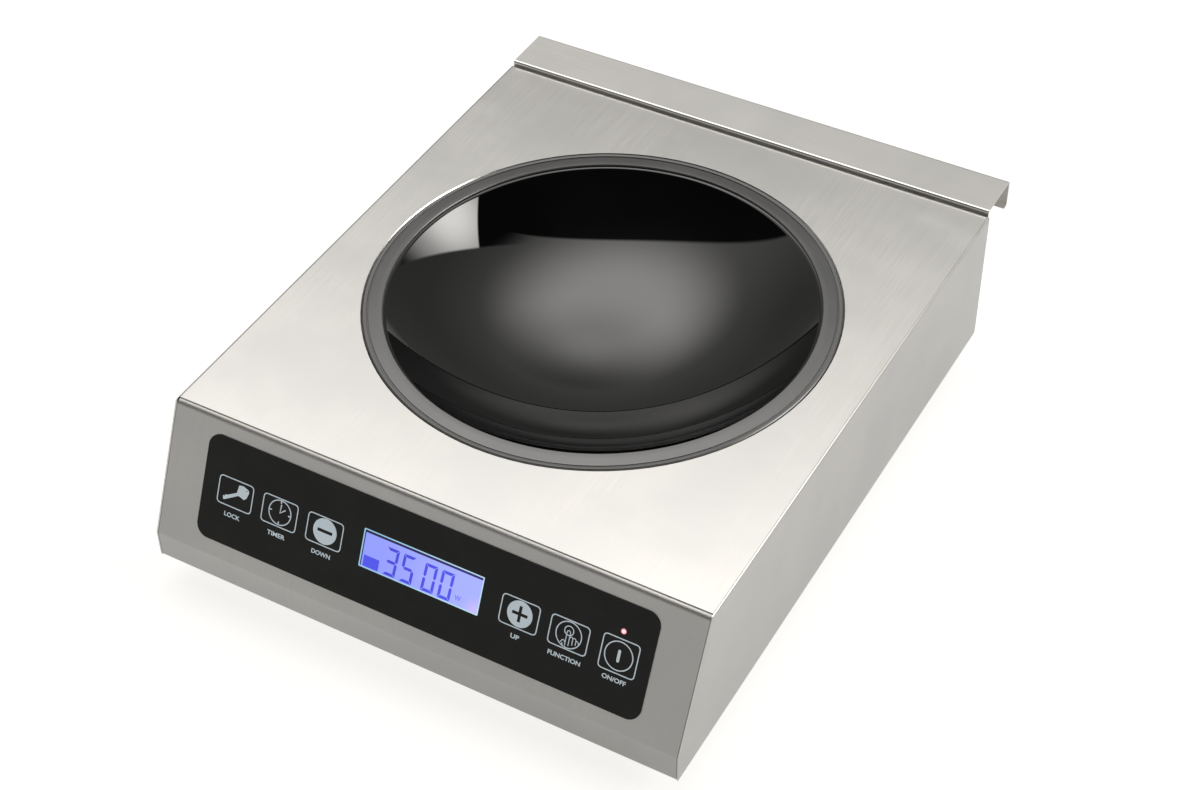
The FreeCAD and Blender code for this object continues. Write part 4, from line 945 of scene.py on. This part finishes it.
def make_lamp(finishes):
    """The lit lamp: a small domed lens on a wider base."""
    low, high = on_slope_box("indicator_lamp", CREASE)
    radius, wide, dome = 1.65 * MM, 2.475 * MM, 0.7 * MM
    shoulder = low.z + 4 * MM
    profile = [(0.0, low.z), (wide, low.z), (wide, shoulder), (radius, shoulder), (radius, high.z)]
    profile += [(radius * math.cos(math.radians(a)), high.z + dome * math.sin(math.radians(a)))
                for a in (15, 30, 45, 60, 75)]
    profile.append((0.0, high.z + dome))
    mesh = lathe("lamp_lens", profile, (0, 0), 48, 60, closed=False)
    mesh.transform(SLOPE @ Matrix.Translation((LAMP_X, LAMP_Y, 0)))
    piece = new_piece("lamp_lens", mesh, finishes["lamp_light"], "housing")
    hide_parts("indicator_lamp")


# ---------------------------------------------------------------- floor, light and camera

FLOOR = 14.0                # half its side
FLOOR_TO_CAMERA = 0.84      # glow that the camera sees
GLOW_AT, HOLLOW_AT, LIFT_AT = (-38, 68), (-24, 51), (-14, 43)       # azimuth and elevation
ROOM_AT, SOFTBOX_AT = (-31, 43.7), (61, 38)
SOFTBOX_EDGE = (0.507, 0.579, -0.636)       # normal of the plane that cuts the softbox off straight


def make_floor():
    """A large plain pale floor, brighter to the camera than to the steel."""
    mesh = bpy.data.meshes.new("studio_floor")
    grid = bmesh.new()
    corners = ((-FLOOR, -FLOOR), (FLOOR, -FLOOR), (FLOOR, FLOOR), (-FLOOR, FLOOR))
    grid.faces.new([grid.verts.new((x, y, 0)) for x, y in corners])
    grid.to_mesh(mesh)
    grid.free()
    floor = bpy.data.objects.new("studio_floor", mesh)
    bpy.context.scene.collection.objects.link(floor)
    material = bpy.data.materials.new("floor_white")
    material.use_nodes = True
    tree = material.node_tree
    shader = tree.nodes["Principled BSDF"]
    shader.inputs["Base Color"].default_value = grey(0.36, 0.004)
    shader.inputs["Roughness"].default_value = 0.9
    shader.inputs["Specular IOR Level"].default_value = 0.1
    shader.inputs["Emission Color"].default_value = (1, 0.99, 0.97, 1)
    place = add_node(tree, "ShaderNodeTexCoord").outputs["Object"]
    across, deep = add_node(tree, "ShaderNodeSeparateXYZ", {"Vector": place}).outputs[:2]
    front = ramp(tree, across, -0.16, 0.15, 0.40, 0.31)
    right = ramp(tree, across, 0.155, 0.175, 0.0, 0.03)
    rear = maths(tree, "MULTIPLY", ramp(tree, deep, 0.25, 0.60, 0.0, 0.28),
                 ramp(tree, across, 0.0, 0.16, 1.0, 0.0))
    glow = maths(tree, "SUBTRACT", maths(tree, "ADD", front, right), rear)
    seen = add_node(tree, "ShaderNodeLightPath").outputs["Is Camera Ray"]
    strength = maths(tree, "ADD", maths(tree, "MULTIPLY", glow, maths(tree, "SUBTRACT", 1.0, seen)),
                     maths(tree, "MULTIPLY", seen, FLOOR_TO_CAMERA))
    tree.links.new(strength, shader.inputs["Emission Strength"])
    mesh.materials.append(material)


def direction(azimuth, elevation):
    """A unit vector; azimuth 0 is +Y and 90 is +X, both angles in degrees."""
    a, e = math.radians(azimuth), math.radians(elevation)
    return (math.sin(a) * math.cos(e), math.cos(a) * math.cos(e), math.sin(e))


def angle_from(tree, place, middle):
    """Degrees between the sky direction and a given azimuth and elevation."""
    dot = add_node(tree, "ShaderNodeVectorMath", {0: place, 1: direction(*middle)},
                   operation="DOT_PRODUCT").outputs["Value"]
    return maths(tree, "MULTIPLY", maths(tree, "ARCCOSINE", dot), 180 / math.pi)


def make_light():
    """Soft studio light as a sky.

    It has a wide glow overhead, one softbox at the right and a dark room behind the camera.
    """
    world = bpy.data.worlds.new("studio")
    bpy.context.scene.world = world
    world.use_nodes = True
    tree = world.node_tree
    tree.nodes.clear()
    place = add_node(tree, "ShaderNodeTexCoord").outputs["Generated"]
    parts = add_node(tree, "ShaderNodeSeparateXYZ", {"Vector": place}).outputs

    def add(*values):
        return maths(tree, "ADD", *values)

    def cut(*values):
        return maths(tree, "SUBTRACT", *values)

    def times(*values):
        return maths(tree, "MULTIPLY", *values)

    base = ramp(tree, parts[1], -0.5, 0.35, 0.46, 0.18)
    away = angle_from(tree, place, GLOW_AT)
    glow = add(ramp(tree, away, 12, 40, 1.72, 0.0), ramp(tree, away, 20, 58, 0.30, 0.0))
    hollow = ramp(tree, angle_from(tree, place, HOLLOW_AT), 7, 25, 0.62, 0.0)
    lift = ramp(tree, angle_from(tree, place, LIFT_AT), 2, 18, 0.13, 0.0)
    sky = add(cut(add(glow, base), hollow), lift)
    horizon = ramp(tree, maths(tree, "ABSOLUTE", cut(parts[2], 0.035)), 0.0, 0.06, 0.26, 0.0)
    sky = add(sky, times(horizon, ramp(tree, parts[1], 0.3, 0.8)))

    bend = maths(tree, "POWER", add(parts[0], 0.45), 2.0)
    edge = cut(add(parts[1], 0.245), times(bend, 0.5))
    beyond = ramp(tree, angle_from(tree, place, ROOM_AT), 53.2, 54.2)
    right_room = times(beyond, ramp(tree, parts[0], 0.36, 0.50))
    room = maths(tree, "MAXIMUM", ramp(tree, edge, -0.012, 0.014, 1.0, 0.0), right_room)
    dark = times(room, ramp(tree, parts[2], 0.24, 0.46, 0.0, 0.97))
    sky = times(sky, cut(1.0, dark))

    side = add_node(tree, "ShaderNodeVectorMath", {0: place, 1: SOFTBOX_EDGE},
                    operation="DOT_PRODUCT").outputs["Value"]
    aside = angle_from(tree, place, SOFTBOX_AT)
    box = add(ramp(tree, aside, 2, 17, 3.0, 0.0), ramp(tree, aside, 8, 32, 3.4, 0.0))
    box = times(times(box, beyond), ramp(tree, side, -0.006, 0.006))
    total = add(sky, box)

    studio = add_node(tree, "ShaderNodeBackground", {"Color": (1.0, 0.985, 0.955, 1), "Strength": total})
    plain = add_node(tree, "ShaderNodeBackground", {"Color": (1, 1, 1, 1), "Strength": 1.0})
    seen = add_node(tree, "ShaderNodeLightPath").outputs["Is Camera Ray"]
    mixed = add_node(tree, "ShaderNodeMixShader", {0: seen, 1: studio.outputs[0], 2: plain.outputs[0]})
    out = add_node(tree, "ShaderNodeOutputWorld")
    tree.links.new(mixed.outputs[0], out.inputs["Surface"])
    world.cycles.sampling_method = "MANUAL"
    world.cycles.sample_map_resolution = 1024
    bpy.context.scene.view_settings.view_transform = "Standard"
    bpy.context.scene.view_settings.look = "None"


CAMERA_TARGET = Vector((14.44 * MM, -38.05 * MM, 80 * MM))
CAMERA_DISTANCE = 1318.2 * MM
CAMERA_AZIMUTH, CAMERA_ELEVATION, CAMERA_ROLL = 30.496, 43.213, -1.37      # degrees
CAMERA_LENS, CAMERA_SENSOR = 69.07, 36.0


def make_camera():
    """The camera at the front right, looking down at the deck."""
    back = Vector(direction(180 - CAMERA_AZIMUTH, CAMERA_ELEVATION))
    right = (-back).cross(Vector((0, 0, 1))).normalized()
    up = right.cross(-back)
    roll = math.radians(CAMERA_ROLL)
    turned_right = right * math.cos(roll) + up * math.sin(roll)
    turned_up = up * math.cos(roll) - right * math.sin(roll)
    data = bpy.data.cameras.new("camera")
    data.lens = CAMERA_LENS
    data.sensor_width = CAMERA_SENSOR
    camera = bpy.data.objects.new("camera", data)
    bpy.context.scene.collection.objects.link(camera)
    spot = CAMERA_TARGET + back * CAMERA_DISTANCE
    camera.matrix_world = Matrix((
        (turned_right.x, turned_up.x, back.x, spot.x),
        (turned_right.y, turned_up.y, back.y, spot.y),
        (turned_right.z, turned_up.z, back.z, spot.z),
        (0, 0, 0, 1),
    ))
    bpy.context.scene.camera = camera


# ---------------------------------------------------------------- the whole scene

def special_finishes(finishes):
    """Finishes of the printed marks, with their painted glow, the display and the lamp."""
    low, high = on_slope_box("display_window", CREASE)
    corner = SLOPE @ Vector((high.x, low.y, 0.0))
    lamp = SLOPE @ Vector((LAMP_X + 0.2 * MM, LAMP_Y + 0.2 * MM, 1 * MM))
    finishes["overlay_print"] = printed("overlay_print", shade(198, 211, 219))
    glowing = {
        "frame_print": ((150, 196, 226), (186, 222, 240)),
        "panel_light": ((144, 154, 255), (166, 176, 255)),
        "panel_shadow": ((14, 10, 50), (44, 30, 110)),
        "pin_light": ((20, 18, 90), (40, 36, 190)),
        "digit_light": ((64, 62, 206), (74, 78, 236)),
        "mark_light": ((72, 78, 228), (84, 90, 240)),
        "unit_light": ((110, 114, 236), (116, 120, 240)),
    }
    spots = {"panel_light": (corner, 12 * MM, shade(200, 186, 246))}
    for name, (left, right) in glowing.items():
        finishes[name] = lit(name, (shade(*left), shade(*right)), (low.x, high.x), spot=spots.get(name))
    finishes["lamp_light"] = lit("lamp_light", (shade(216, 40, 70), shade(222, 60, 86)),
                                 (120 * MM, 128 * MM), strength=1.1,
                                 spot=(lamp, 1.9 * MM, shade(255, 236, 240)))


def main():
    """Everything, in order."""
    make_camera()
    finishes = make_materials()
    special_finishes(finishes)
    dress_nodes(finishes)
    make_bowl(finishes)
    make_ring(finishes)
    make_display(finishes)
    make_keys(finishes)
    make_lamp(finishes)
    make_screws(finishes)
    make_feet(finishes)
    make_gland(finishes)
    make_floor()
    make_light()


main()
